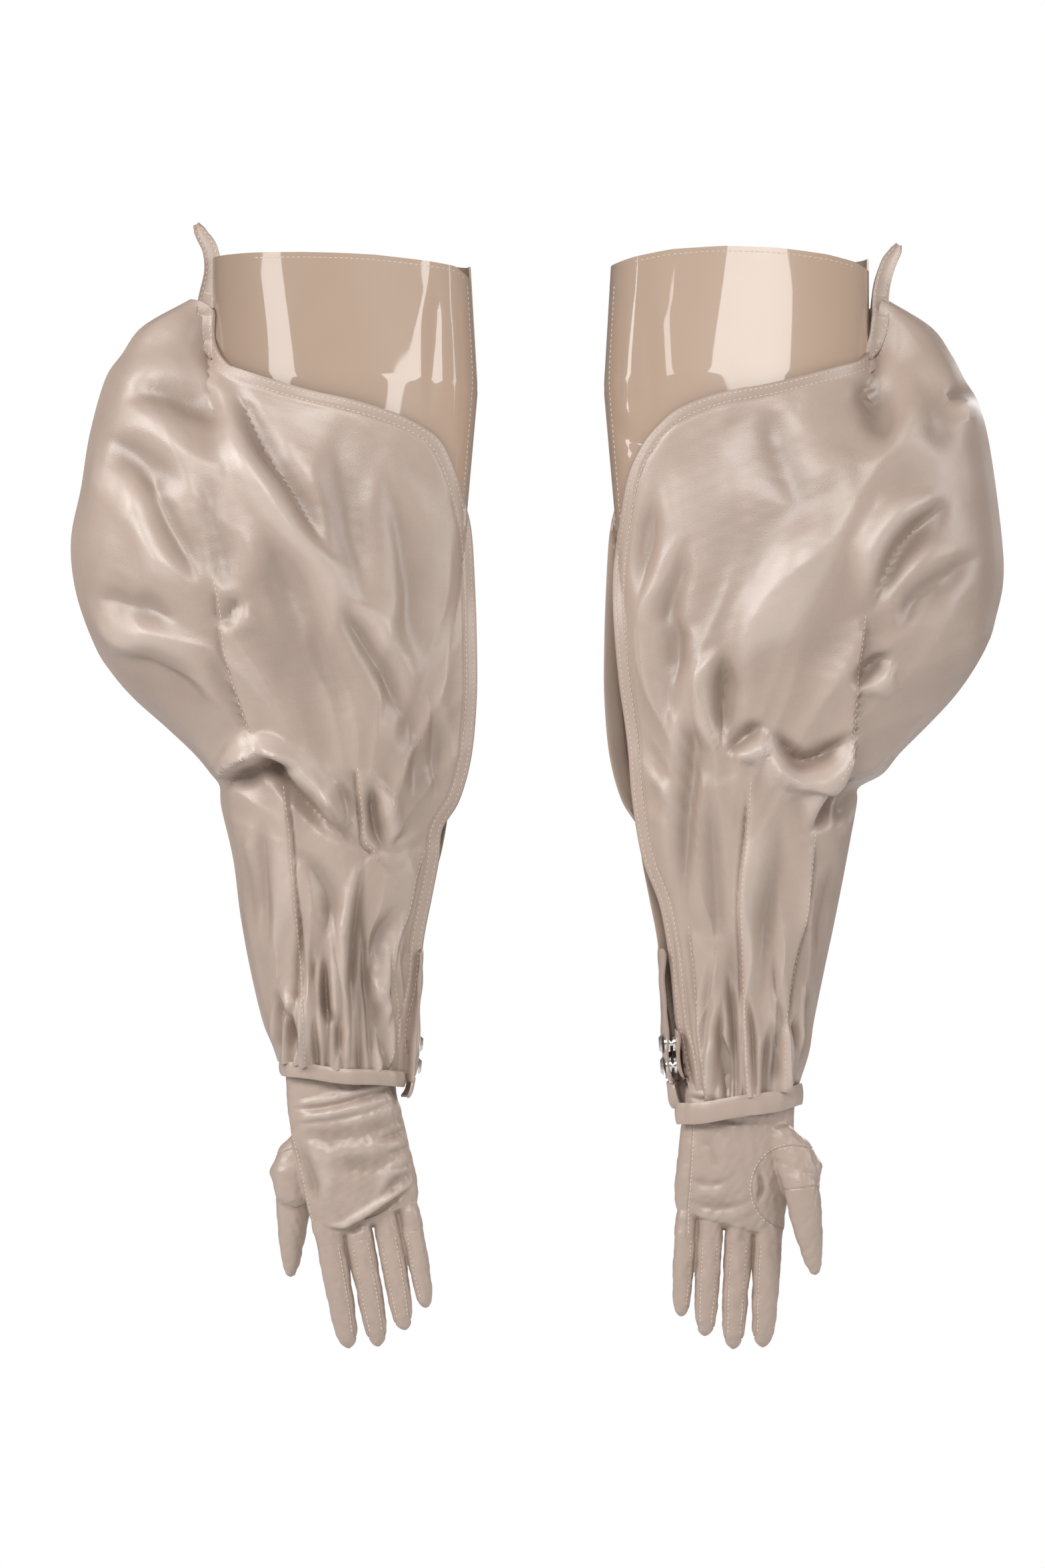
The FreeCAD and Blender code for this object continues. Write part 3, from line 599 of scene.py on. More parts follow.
BACK_DARTS = [
    ([(-71, -208), (-68, -236), (-66, -262), (-64, -290), (-58, -304)], 1.2),
    ([(-44, -333), (-42, -355), (-39, -381), (-34, -405), (-29, -431), (-27, -452), (-28, -486)], 1.2),
    ([(-3, -303), (-1, -333), (2, -363), (2, -393), (-2, -490)], -1.2),
    ([(32, -387), (29, -410), (28, -424), (26, -450), (21, -492)], -1.4),
]
FOLDS = {"front": FRONT_FOLDS, "back": BACK_FOLDS}
DARTS = {"front": FRONT_DARTS, "back": BACK_DARTS}

# %% Gathers above the band, and what each drawing belongs to
# The front's folds are drawn for the first glove's band, and the back's for the second's. On the
# other glove they move with its band.
GATHERS = {"front": [-37, -31, -25, -14, -8, 1, 11, 18, 25, 32],
           "back": [-34, -29, -23, -13, -8, 3, 8, 15, 22, 27]}
DRAWN_ON = {"front": "first", "back": "second"}
SEED = {"front": 1, "back": 2}
FOLD_STRENGTH = 1.45
PLEAT_PITCH, PLEAT_HIGH = 19, 1.5
print({side: len(FOLDS[side]) + len(DARTS[side]) + len(GATHERS[side]) for side in FACING}, "folds")

# %% [markdown]
# ## A sleeve panel
# The panel's columns start along its open edge and run down to the band, so both the neckline and
# the open edge are true edges of the grid. Its depth is round on the seam's side and flat towards
# the open side, where it lies on the inner glove.

# %% The panel's smooth surface
COLUMNS, ROWS = 170, 250
CLEARANCE = 2.6
ROUNDED = 0.42
LYING_SOFT = 3.0


def open_side(side, z):
    """The open side's x on a level: the edge below its widest reach."""
    line = smooth_line(EDGE[side])
    lower = line[np.argmax(line[:, 0]):]
    return np.interp(-np.asarray(z, float), -lower[:, 1], lower[:, 0])


def panel_outline(glove, side):
    """Each point's x, its z, and its share of the way from the seam to the open side."""
    floor = BAND_TOP[glove][0]
    edge = smooth_line(EDGE[side])
    edge = edge[edge[:, 1] > floor + 6]
    start = edge[0, 1] + 2
    top = even_points(np.vstack([[(read_curve(SEAM[glove], start), start)], edge]), 1.5)
    run = np.linspace(0, len(top) - 1, COLUMNS)
    top_x, top_z = [np.interp(run, np.arange(len(top)), top[:, i]) for i in (0, 1)]
    seam_x = read_curve(SEAM[glove], top_z)
    top_share = np.clip((top_x - seam_x) / (open_side(side, top_z) - seam_x), 0, 1)
    top_share[np.arange(COLUMNS) > np.argmax(top_x)] = 1.0
    low_share = np.linspace(0, 1, COLUMNS) ** 0.9
    down = np.linspace(0, 1, ROWS)[:, None]
    share = (1 - down) * top_share + down * low_share
    foot_left, foot_right = read_curve(SEAM[glove], floor), open_side(side, floor)
    z = (1 - down) * top_z + down * band_line(glove, foot_left + low_share * (foot_right - foot_left))
    left = read_curve(SEAM[glove], z)
    x = left + share * (open_side(side, z) - left)
    x[0] = top_x
    return x, z, share


def panel_surface(glove, side):
    """A panel's smooth places, each point's share of the way from the seam, and how far it is from
    the open edge."""
    x, z, share = panel_outline(glove, side)
    round_part = np.sqrt(np.clip(1 - (1 - share / ROUNDED) ** 2, 0, 1))
    falling = np.clip(share - ROUNDED, 0, 1) / (1 - ROUNDED)
    flat_part = 0.16 + 0.84 * np.cos(0.5 * math.pi * falling ** 1.35)
    y = read_curve(PUFF_DEPTH, z) * np.where(share < ROUNDED, round_part, flat_part)
    away = np.abs(beside_line(x, z, smooth_line(EDGE[side]))[0])
    lying = inner_depth(x, z) + CLEARANCE
    hang = soft_step(away / 60) * 0.75 + 0.25 * soft_step(away / 16)
    upper = soft_step((z + 230) / 90)
    y = (1 - upper) * y + upper * (hang * y + (1 - hang) * np.minimum(lying + 1.0, y + 4))
    y = lying + LYING_SOFT * np.logaddexp(0, (y - lying) / LYING_SOFT) * soft_step(share / 0.02)
    y = y * np.sqrt(soft_step(share / 0.05))
    return np.stack([x, FACING[side] * y, z], -1), share, away


def surface_normals(places, facing):
    across = np.gradient(places, axis=1)
    down = np.gradient(places, axis=0)
    normals = np.cross(across, down)
    normals /= np.maximum(np.linalg.norm(normals, axis=-1, keepdims=True), 1e-9)
    flip = np.sign(np.sum(normals[..., 1])) != facing
    return -normals if flip else normals


# %% The panel's folds
HEM = 6.0
TAB_CORNER = (-78, -38)


def panel_heights(glove, side, places, share, away):
    """How far each point of a panel is pressed in or raised, in millimetres."""
    x, z = places[..., 0].copy(), places[..., 2].copy()
    floor = BAND_TOP[DRAWN_ON[side]][0]
    drawn_z = z - (BAND_TOP[glove][0] - floor) * soft_step((-z - 330) / 120)
    height = np.zeros_like(x)
    for fold in FOLDS[side]:
        press_fold(height, x, drawn_z, *fold)
    for points, rise in DARTS[side]:
        press_dart(height, x, drawn_z, points, rise)
    height *= FOLD_STRENGTH
    height += hanging_folds(x, drawn_z, 40 + SEED[side]) * soft_step((z + 360) / 60)
    bent = x + 5 * ripples(x, z, 90, 50 + SEED[side])
    pleat = 1 - 2 * np.abs(np.sin(math.pi * bent / PLEAT_PITCH)) ** 0.8
    height += PLEAT_HIGH * pleat * soft_step((-drawn_z - 335) / 70)
    draw = np.random.default_rng(10 + SEED[side])
    for foot in GATHERS[side]:
        tall = draw.uniform(38, 95)
        aside = draw.uniform(-7, 7)
        line = [(foot + aside, floor + tall), (foot + 0.3 * aside, floor + 0.5 * tall), (foot, floor - 12)]
        press_fold(height, x, drawn_z, line, draw.uniform(2.8, 4.2), draw.uniform(2.1, 3.1), 0.6, 0.8, 0, 0.3)
    height += 0.55 * ripples(x, z, 70, 3) + 0.22 * ripples(x, z, 26, 4) + 0.07 * ripples(x, z, 9, 5)
    hem_groove = np.exp(-(away - HEM) ** 2)
    height = height * soft_step(away / 22 + 0.15) + 0.5 * soft_step((HEM - away) / 1.2) - 0.5 * hem_groove
    height *= soft_step(share / 0.07 + 0.08)
    return height * soft_step((np.hypot(x - TAB_CORNER[0], z - TAB_CORNER[1]) - 8) / 26)


def folded_panel(glove, side):
    """A panel's places with its folds, kept clear of the inner glove, and the folds' heights."""
    places, share, away = panel_surface(glove, side)
    height = panel_heights(glove, side, places, share, away)
    moved = places + surface_normals(places, FACING[side]) * height[..., None]
    least = inner_depth(moved[..., 0], moved[..., 2]) + 1.7
    depth = moved[..., 1] * FACING[side]
    moved[..., 1] = FACING[side] * np.where(share > 0.06, np.maximum(depth, least), np.maximum(depth, 0))
    return moved, height


# %% A grid becomes a piece
def grid_tree(places):
    """The surface in a form that rays can be shot at."""
    rows, columns = places.shape[:2]
    number = np.arange(rows * columns).reshape(rows, columns)
    faces = np.stack([number[:-1, :-1], number[:-1, 1:], number[1:, 1:], number[1:, :-1]], -1)
    return BVHTree.FromPolygons(places.reshape(-1, 3).tolist(), faces.reshape(-1, 4).tolist())


def add_grid(name, glove, places, values, outward, thick):
    """A grid piece with a number per point named fold, which the material reads to paint shade into
    the valleys. Outward says which way the drawn side faces, and the wall grows from it the other way."""
    rows, columns = places.shape[:2]
    deselect()
    bpy.ops.mesh.primitive_grid_add(x_subdivisions=columns - 1, y_subdivisions=rows - 1, size=1)
    piece = name_piece(name)
    flat = get_points(piece)
    order = np.lexsort((np.round(flat[:, 0], 3), np.round(flat[:, 1], 3)))
    moved = np.empty_like(flat)
    moved[order] = half_turned(glove, places).reshape(-1, 3)
    fold = np.empty(len(flat))
    fold[order] = np.broadcast_to(values, (rows, columns)).ravel()
    set_points(piece, moved)
    store(piece, "fold", fold)
    normals = np.array([p.normal for p in piece.data.polygons])
    if (normals @ turned_way(glove, outward)).sum() < 0:
        piece.data.flip_normals()
    apply_modifier(piece, "SOLIDIFY", thickness=thick * MM, offset=-1, use_rim=True)
    smooth_shade(piece)
    return piece


# %% Both panels of both gloves
LEATHER_THICK = 1.3
panel_trees = {}
for glove in GLOVES:
    for side in FACING:
        places, height = folded_panel(glove, side)
        panel_trees[glove, side] = grid_tree(places)
        piece = add_grid(f"{glove}_sleeve_{side}", glove, places, height, (0, FACING[side], 0), LEATHER_THICK)
        finish(piece, LEATHER)
        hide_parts(f"{glove}_{side}_panel")
        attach(piece, f"{glove}_sleeve")
        area = sum(p.area for p in piece.data.polygons) / 2
        print(piece.name, len(piece.data.polygons), "faces", round(area, 4), "m2")

# %% [markdown]
# ## Rays find the leather
# Stitches and trims lie on the folded surface. A ray from in front of the glove finds the point
# and the slope of the leather under any spot of the pattern. A stitch is a small flattened sphere,
# made once; a row of stitches is one piece that holds many copies of it.

# %% Where the surface is
def touch(tree, side, x, z):
    """The place and the outward normal of a surface at a spot, or None."""
    facing = FACING[side]
    place, normal, _, _ = tree.ray_cast(Vector((x, 300 * facing, z)), Vector((0, -facing, 0)))
    if place is None:
        return None
    return place, (-normal if normal.y * facing < 0 else normal)


# %% Rows of stitches
STITCH_LONG, STITCH_PITCH, STITCH_WIDE, STITCH_HIGH = 2.2, 3.0, 0.34, 0.24
STITCH_ABOVE = 0.05
LARGEST_STEP = 6

deselect()
bpy.ops.mesh.primitive_uv_sphere_add(segments=6, ring_count=4, radius=1)
ball = bpy.context.object
STITCH_POINTS = get_points(ball) * MM
STITCH_FACES = [tuple(p.vertices) for p in ball.data.polygons]
bpy.data.objects.remove(ball)


def sew(name, spots, blend_or_body):
    """One piece of many stitches. Each spot is a place, a way along the row and a normal, in metres."""
    points, faces = [], []
    for place, way, normal in spots:
        way, normal = Vector(way).normalized(), Vector(normal).normalized()
        across = normal.cross(way).normalized()
        normal = way.cross(across)
        basis = np.array([way * STITCH_LONG / 2, across * STITCH_WIDE, normal * STITCH_HIGH]) * MM
        start = len(points)
        points += (STITCH_POINTS @ basis + np.array(place)).tolist()
        faces += [tuple(start + i for i in face) for face in STITCH_FACES]
    mesh = bpy.data.meshes.new(name)
    mesh.from_pydata(points, [], faces)
    piece = bpy.data.objects.new(name, mesh)
    bpy.context.collection.objects.link(piece)
    smooth_shade(piece, 80)
    finish(piece, THREAD)
    if isinstance(blend_or_body, str):
        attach(piece, blend_or_body)
    else:
        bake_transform(piece)
    print(name, len(spots), "stitches")


def row_on_surface(glove, side, tree, line):
    """Stitch spots along a line of (x, z) laid on a surface. It skips holes and steep steps."""
    spots = []
    dots = even_points(np.asarray(line, float), STITCH_PITCH)
    for before, after in zip(dots, dots[1:]):
        found, ahead, behind = [touch(tree, side, *dot) for dot in ((before + after) / 2, after, before)]
        if not (found and ahead and behind) or abs(ahead[0].y - behind[0].y) > LARGEST_STEP:
            continue
        place, normal = found
        place = np.array(place) + STITCH_ABOVE * np.array(normal)
        way = np.array(ahead[0]) - np.array(behind[0])
        spots.append((half_turned(glove, place) * MM, turned_way(glove, way), turned_way(glove, normal)))
    return spots


def offset_line(line, distance):
    """The line moved sideways, plus to the left of its way."""
    way = np.gradient(line, axis=0)
    way /= np.maximum(np.linalg.norm(way, axis=1, keepdims=True), 1e-9)
    return line + distance * np.stack([-way[:, 1], way[:, 0]], -1)


def open_edge(glove, side, above_band, below):
    """The open edge between a place above the band and a level below the tab."""
    edge = even_points(smooth_line(EDGE[side]), 2.0)
    return edge[(edge[:, 1] > BAND_TOP[glove][0] + above_band) & (edge[:, 1] < below)]


# %% The sleeves' stitches
EDGE_ROW, DART_ROW = 1.4, 1.6
for glove in GLOVES:
    for side in FACING:
        tree = panel_trees[glove, side]
        edge = open_edge(glove, side, 8, -30)
        spots = row_on_surface(glove, side, tree, offset_line(edge, -EDGE_ROW))
        spots += row_on_surface(glove, side, tree, offset_line(edge, -HEM + 0.4))
        for points, rise in DARTS[side]:
            beside = math.copysign(DART_ROW, rise)
            spots += row_on_surface(glove, side, tree, offset_line(smooth_line(points), beside))
        sew(f"{glove}_{side}_sleeve_stitches", spots, f"{glove}_sleeve")

# %% [markdown]
# ## Facings
# A narrow strip is sewn under the open edge and shows as a second thin line beside it. It follows
# the edge, just inside the panel. Its first row stands a little past the edge, where a ray finds no
# panel, so that row takes its depth from the next one.

# %% Facing strips
FACING_ROWS = (-0.7, 0.5, 3.0, 6.0, 9.0)
FACING_UNDER = 1.6


def facing_places(glove, side):
    strips = [offset_line(open_edge(glove, side, 6, -31), -distance) for distance in FACING_ROWS]
    places = np.zeros((len(strips), len(strips[0]), 3))
    for row, line in enumerate(strips):
        y = 30 * FACING[side]
        for i, spot in enumerate(strips[1] if row == 0 else line):
            found = touch(panel_trees[glove, side], side, *spot)
            y = found[0].y if found else y
            places[row, i] = (line[i][0], y - FACING[side] * FACING_UNDER, line[i][1])
        places[row, :, 1] = smoothed(places[row, :, 1], 3)
    return places


for glove in GLOVES:
    for side in FACING:
        places = facing_places(glove, side)
        piece = add_grid(f"{glove}_{side}_facing_strip", glove, places, 0, (0, FACING[side], 0), 0.9)
        finish(piece, LEATHER)
        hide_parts(f"{glove}_{side}_facing")
        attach(piece, f"{glove}_sleeve")

# %% [markdown]
# ## The glossy cuff
# Two halves of patent leather make a flat tube for the upper arm, sewn together along both sides
# and stitched round the top. Long shallow dents make the reflections wander, as on real patent.

# %% The cuff's halves
CUFF_TOP = {
    "front": [(-76, 2.5), (-50, 2.6), (-20, 2.0), (20, 0.5), (50, -2.0), (66, -4.0), (72, -8.0), (77, -12.0)],
    "back": [(-76, -5.5), (-66, -1.5), (-50, 1.5), (-20, 4.5), (10, 5.4), (40, 4.2), (62, 1.0), (79, -3.0)],
}
CUFF_FOOT = -188.0
PATENT_THICK = 1.2


def cuff_places(side):
    t = np.linspace(0, math.pi, 110)[None, :]
    down = np.linspace(0, 1, 90)[:, None]
    left, right, deep = inner_oval(down * CUFF_FOOT)
    x = (left + right) / 2 - (right - left) / 2 * np.cos(t)
    crown = np.interp(x[0], *np.array(CUFF_TOP[side]).T)
    z = (1 - down) * crown + down * CUFF_FOOT
    height = 0.55 * ripples(x, z * 0.35, 60, 20 + SEED[side])
    press_fold(height, x, z, [(56, -6), (54, -50), (51, -100)], 0.9, 5, 0.1, 0.4, 0)
    press_fold(height, x, z, [(66, -30), (67, -90), (62, -150)], -0.7, 5, 0.0, 0.2, 0)
    if side == "back":
        press_fold(height, x, z, [(78, -85), (66, -104), (50, -106)], 1.8, 6, 0.1, 0.6, 0)
    height *= np.sin(t) ** 0.5
    from_seam = np.minimum(t, math.pi - t)
    height -= 0.45 * np.exp(-((from_seam - 0.16) / 0.02) ** 2)
    y = FACING[side] * (deep * np.sin(t) ** 0.92 + height)
    return np.stack([x, y, z], -1), height


for glove in GLOVES:
    for side in FACING:
        places, height = cuff_places(side)
        piece = add_grid(f"{glove}_patent_{side}", glove, places, height, (0, FACING[side], 0), PATENT_THICK)
        finish(piece, PATENT)
        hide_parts(f"{glove}_cuff_{side}")
        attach(piece, f"{glove}_sleeve")
        tree = grid_tree(places)
        below_top = smooth_line(CUFF_TOP[side][1:-1]) - (0, 3.0)
        beside_seam = [(inner_oval(z)[1] - 2.6, z) for z in np.linspace(-14, -178, 20)]
        spots = row_on_surface(glove, side, tree, below_top) + row_on_surface(glove, side, tree, beside_seam)
        sew(f"{glove}_{side}_cuff_stitches", spots, f"{glove}_sleeve")

# %% [markdown]
# ## The forearm inside the sleeve
# Between cuff and hand runs a plain tube, hardly seen, with the small cross wrinkles of a tight
# sleeve. It is one grid wrapped round. A ring's sides face every way, so its outward way is given
# along its middle line, where its taper decides which side the wall grows on.

# %% The inner sleeve
t = np.linspace(0, 2 * math.pi, 97)[None, :]
z = np.linspace(-184, -486, 110)[:, None]
bumps = -0.3 - 0.5 * np.abs(np.sin(z / 9.0 + 1.5 * np.sin(t)))
left, right, deep = inner_oval(z)
x = (left + right) / 2 + (right - left) / 2 * np.cos(t) * (1 + bumps / 60)
y = deep * np.sin(t) * (1 + bumps / 60)
tube_places = as_places(x, y, z)
tube_places[:, -1] = tube_places[:, 0]
for glove in GLOVES:
    piece = add_grid(f"{glove}_forearm_tube", glove, tube_places, bumps, (0, 0, 1), 0.8)
    finish(piece, LINING)
    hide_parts(f"{glove}_inner_sleeve")
    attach(piece, f"{glove}_sleeve")

# %% [markdown]
# ## The wrist band and the closure
# The band is a narrow strip round the wrist, open on the little finger's side, where a rounded end
# laps over. A flap runs up from it along the slit and carries the caps and sockets of two snaps;
# the studs sit on a small placket.

# %% The band
BAND_TALL = {"first": 9.0, "second": 12.5}
BAND_SIZE = (37.6, 23.5)
BAND_GAP = 0.36
for glove in GLOVES:
    height, slope = BAND_TOP[glove]
    turn = np.linspace(BAND_GAP, 2 * math.pi - BAND_GAP, 150)[None, :]
    down = np.linspace(0, 1, 12)[:, None]
    belly = 0.9 * np.sin(math.pi * down) ** 0.6
    wave = 0.35 * np.sin(7 * turn) * (0.3 + down) + 0.25 * np.sin(17 * turn + 1)
    x = 1.2 + (BAND_SIZE[0] + belly + wave) * np.cos(turn)
    y = (BAND_SIZE[1] + belly + wave) * np.sin(turn)
    z = height + 1.6 + slope * x - down * BAND_TALL[glove] + 0.4 * np.sin(5 * turn)
    places = np.stack([x, y, z], -1)
    piece = add_grid(f"{glove}_band_strip", glove, places, 0.5 - np.abs(2 * down - 1), (0, 0, 1), 1.8)
    finish(piece, LEATHER)
    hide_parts(f"{glove}_wrist_band")
    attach(piece, f"{glove}_sleeve")


# %% The strips of the closure
CORNER = 4.0
BAND_END = {"first": (-476.5, -488), "second": (-479.5, -495)}
CLOSURE_LINE = [(-399, 47.0), (-430, 46.3), (-452, 45.1), (-463, 44.4), (-479, 43.2), (-496, 40.6)]


def closure_strip(name, glove, body, node, levels, ends, curl, inset=0.0):
    """A soft strip that stands on the little finger's side: rows down the arm, columns across it.
    Its corners are round, its foot tucks in and its sides curl in, one less than the other."""
    z = levels[0] + (levels[1] - levels[0]) * np.linspace(0, 1, 70)[:, None]
    u = np.linspace(-1, 1, 40)[None, :]
    from_foot = z - levels[1]
    near_end = np.minimum(np.minimum(levels[0] - z, from_foot), CORNER)
    half = (ends[1] - ends[0]) / 2 - CORNER + np.sqrt(CORNER**2 - (CORNER - near_end) ** 2)
    y = (ends[0] + ends[1]) / 2 + half * u
    wave = 0.5 * np.sin(z / 7.5 + 1.4 * u) + 0.25 * np.sin(z / 3.6 - 2 * u)
    tucked = 2.2 * np.exp(-from_foot / 2.5)
    curled = curl * np.where(u < 0, 0.3, 1) * np.abs(u) ** 2.6
    rim = 0.25 * soft_step((np.abs(u) - 0.8) / 0.08)
    x = read_curve(CLOSURE_LINE, z) - inset - tucked - curled + wave + rim
    piece = add_grid(name, glove, as_places(x, y, z), wave, (1, 0, 0), LEATHER_THICK)
    finish(piece, LEATHER)
    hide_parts(node)
    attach(piece, body)


# %% The fold that carries the flap
FOLD_ROOT = 29
FOLD_END_DEPTH = 12.2


def slit_fold(name, glove, node):
    """The strip that carries the flap round from under the panel to the little finger's side."""
    tree = panel_trees[glove, "front"]
    z = -403 - 75 * np.linspace(0, 1, 70)[:, None]
    u = np.linspace(0, 1, 24)[None, :]
    out = read_curve(CLOSURE_LINE, z) - 1.3
    x = FOLD_ROOT + (out - FOLD_ROOT) * u
    turn = open_side("front", z) - 1.5
    depths = []
    for level, edge_at in zip(z[:, 0], turn[:, 0]):
        inner, outer = touch(tree, "front", FOLD_ROOT, level), touch(tree, "front", edge_at, level)
        depths.append((-inner[0].y - 2.4, -outer[0].y - 2.2) if inner and outer else depths[-1])
    under, lying = [smoothed(depth, 6)[:, None] for depth in np.array(depths).T]
    inside = np.clip((x - FOLD_ROOT) / (turn - FOLD_ROOT), 0, 1)
    beyond = soft_step((x - turn) / np.maximum(out - turn, 1))
    y = -(under + (lying - under) * inside + (FOLD_END_DEPTH - lying) * beyond)
    piece = add_grid(name, glove, as_places(x, y, z), 0, (0, -1, 0), 1.2)
    finish(piece, LEATHER)
    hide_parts(node)
    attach(piece, f"{glove}_sleeve")


# %% Flap, band end, placket, fold and snaps
for glove in GLOVES:
    sleeve, closure = f"{glove}_sleeve", f"{glove}_closure"
    closure_strip(f"{glove}_snap_flap", glove, closure, f"{glove}_closure_flap", (-401, -479), (-12, 10), 2.6)
    closure_strip(f"{glove}_band_end", glove, closure, f"{glove}_band_tab", BAND_END[glove], (-12, 5), 5.5)
    closure_strip(f"{glove}_stud_placket", glove, sleeve, f"{glove}_snap_placket", (-448.5, -476.5),
                  (1.5, 13.5), 1.5, inset=7.6)
    slit_fold(f"{glove}_flap_fold", glove, f"{glove}_closure_fold")
    for kind in ("snap_studs", "snap_sockets", "snap_caps"):
        node = frame["nodes"][f"{glove}_{kind}"]
        node.data.materials.clear()
        node.data.materials.append(NICKEL)

# %% [markdown]
# ## The tabs
# Two narrow leaves rise from the neckline's corner and close over each other at their tips.

# %% Tabs
TAB_LINE = {
    "first": [(-74, -56), (-79, -46), (-80.6, -34), (-79, -20), (-76, -5), (-77.5, 8), (-82, 16),
              (-85.5, 22.5)],
    "second": [(-74, -56), (-79.5, -46), (-82, -34), (-82.5, -22), (-84, -11), (-87.5, 0), (-91, 6),
               (-93.3, 10.5)],
}
# Share of the leaf's length, half width.
TAB_WIDE = [(0, 2.5), (0.1, 4.0), (0.3, 4.9), (0.6, 4.6), (0.85, 4.1), (0.95, 3.0), (1, 1.0)]
TAB_ON_PANEL = 0.45


def leaf_places(glove, side, line, across, half):
    """A leaf that lies on the panel at its foot and stands free above it, with a raised rim."""
    share = np.linspace(0, 1, len(line))
    u = np.linspace(-1, 1, 15)[None, :]
    x = line[:, [0]] + across[:, [0]] * half[:, None] * u
    z = line[:, [1]] + across[:, [1]] * half[:, None] * u
    found = [touch(panel_trees[glove, side], side, *spot) for spot in line]
    lying = np.array([abs(f[0].y) + 0.7 if f else 1.6 for f in found])
    lying = smoothed(np.where(share < TAB_ON_PANEL, lying, 1.6), 8)
    deep = lying[:, None] + 0.8 * u**2 - 1.5 * np.exp(-share[:, None] * 18)
    rim = 0.3 * soft_step((np.abs(u) - 0.72) / 0.1)
    return np.stack([x, FACING[side] * (deep + rim), z], -1), rim


for glove in GLOVES:
    line = even_points(smooth_line(TAB_LINE[glove]), 0.8)
    way = np.gradient(line, axis=0)
    way /= np.linalg.norm(way, axis=1, keepdims=True)
    across = np.stack([-way[:, 1], way[:, 0]], -1)
    half = np.interp(np.linspace(0, 1, len(line)), *np.array(TAB_WIDE).T)
    for side in FACING:
        places, rim = leaf_places(glove, side, line, across, half)
        piece = add_grid(f"{glove}_tab_leaf_{side}", glove, places, rim, (0, FACING[side], 0), 1.2)
        finish(piece, LEATHER)
        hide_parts(f"{glove}_tab_{side}")
        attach(piece, f"{glove}_sleeve")
        spots = []
        for edge_at in (-0.7, 0.7):
            row = line + across * (half * edge_at)[:, None]
            spots += row_on_surface(glove, side, grid_tree(places), row[2:-3])
        sew(f"{glove}_tab_{side}_stitches", spots, f"{glove}_sleeve")

# %% [markdown]
# ## The hand
# The palm, the ball of the thumb and the five stalls are closed egg shapes, one UV sphere each,
# joined and remeshed into one smooth skin, so that the webs between the fingers come out by
# themselves. The skin is then creased, and cut along its real seams into back, palm, thumb gusset,
# stalls and fork strips.

# %% Egg shapes for the palm and the stalls
PALM_LEVELS = [
    # share of the way down, drop, middle, half width, half depth
    (0.00, -32, 0, 0, 0), (0.03, -32, 0, 26, 13), (0.10, -24, 0, 29.5, 15), (0.2, -8, 0, 32, 16),
    (0.35, 12, 0, 33, 16.2), (0.5, 30, 0.6, 33.4, 15.6), (0.65, 46, 1.6, 33.4, 13.8),
    (0.8, 60, 2.2, 33.0, 11.2),
    (0.9, 69, 2.2, 32.4, 9.2), (0.97, 75, 2.2, 31.0, 7.4), (1.00, 78, 2.2, 0, 0),
]
# Width, depth and length of each stall below its knuckle.
STALL = {"index": (16.3, 13.4, 64.5), "middle": (15.8, 13.4, 66.5), "ring": (14.9, 13.0, 60.0),
         "little": (12.3, 12.0, 49.0)}
THUMB = (20.5, 16.5, 53.0)
THUMB_SPLAY = math.radians(12)
# Share of the length, share of the full width.
STALL_TAPER = [(0, 0), (0.04, 0.85), (0.1, 1.0), (0.4, 1.0), (0.6, 0.97), (0.78, 0.90), (0.89, 0.77),
               (0.955, 0.56), (0.988, 0.30), (1, 0)]
THUMB_TAPER = [(0, 0), (0.05, 0.75), (0.15, 1.0), (0.4, 1.0), (0.55, 0.93), (0.7, 0.79), (0.82, 0.62),
               (0.92, 0.43), (0.98, 0.24), (1, 0)]
# The ball of the thumb, with the same columns as the palm.
MOUND = [(0, -38, 9, 0, 0), (0.08, -36, 8, 7, 6), (0.3, -24, 3, 12, 9), (0.55, -10, -1, 13.2, 10.5),
         (0.8, 5, 0, 10, 9), (1, 16, 0, 0, 0)]


def egg(levels, segments, rings):
    """A UV sphere whose rings are moved to levels of (share, drop, middle, half width, half depth)."""
    deselect()
    bpy.ops.mesh.primitive_uv_sphere_add(segments=segments, ring_count=rings, radius=1)
    piece = bpy.context.object
    unit = get_points(piece) * MM
    share = np.arccos(np.clip(unit[:, 2], -1, 1)) / math.pi
    ring = np.maximum(np.hypot(unit[:, 0], unit[:, 1]), 1e-6)
    table = np.array(levels, float)
    drop, middle, wide, deep = [np.interp(share, table[:, 0], table[:, i]) for i in (1, 2, 3, 4)]
    x = middle + unit[:, 0] / ring * wide
    y = unit[:, 1] / ring * deep
    return piece, np.stack([x, y, -drop], -1)


def stall_shape(wide, deep, long, root, taper=STALL_TAPER):
    levels = [(t, -root + (root + long) * t, 0, wide / 2 * w, deep / 2 * w) for t, w in taper]
    return egg(levels, 28, 44)


def thumb_place(points):
    """From the thumb's own frame to the hand's."""
    return swung(points, -THUMB_SPLAY) + THUMB_ROOT


def thumb_own(points):
    return swung(points - THUMB_ROOT, THUMB_SPLAY)


# %% One skin from seven shapes
VOXEL = 0.0007


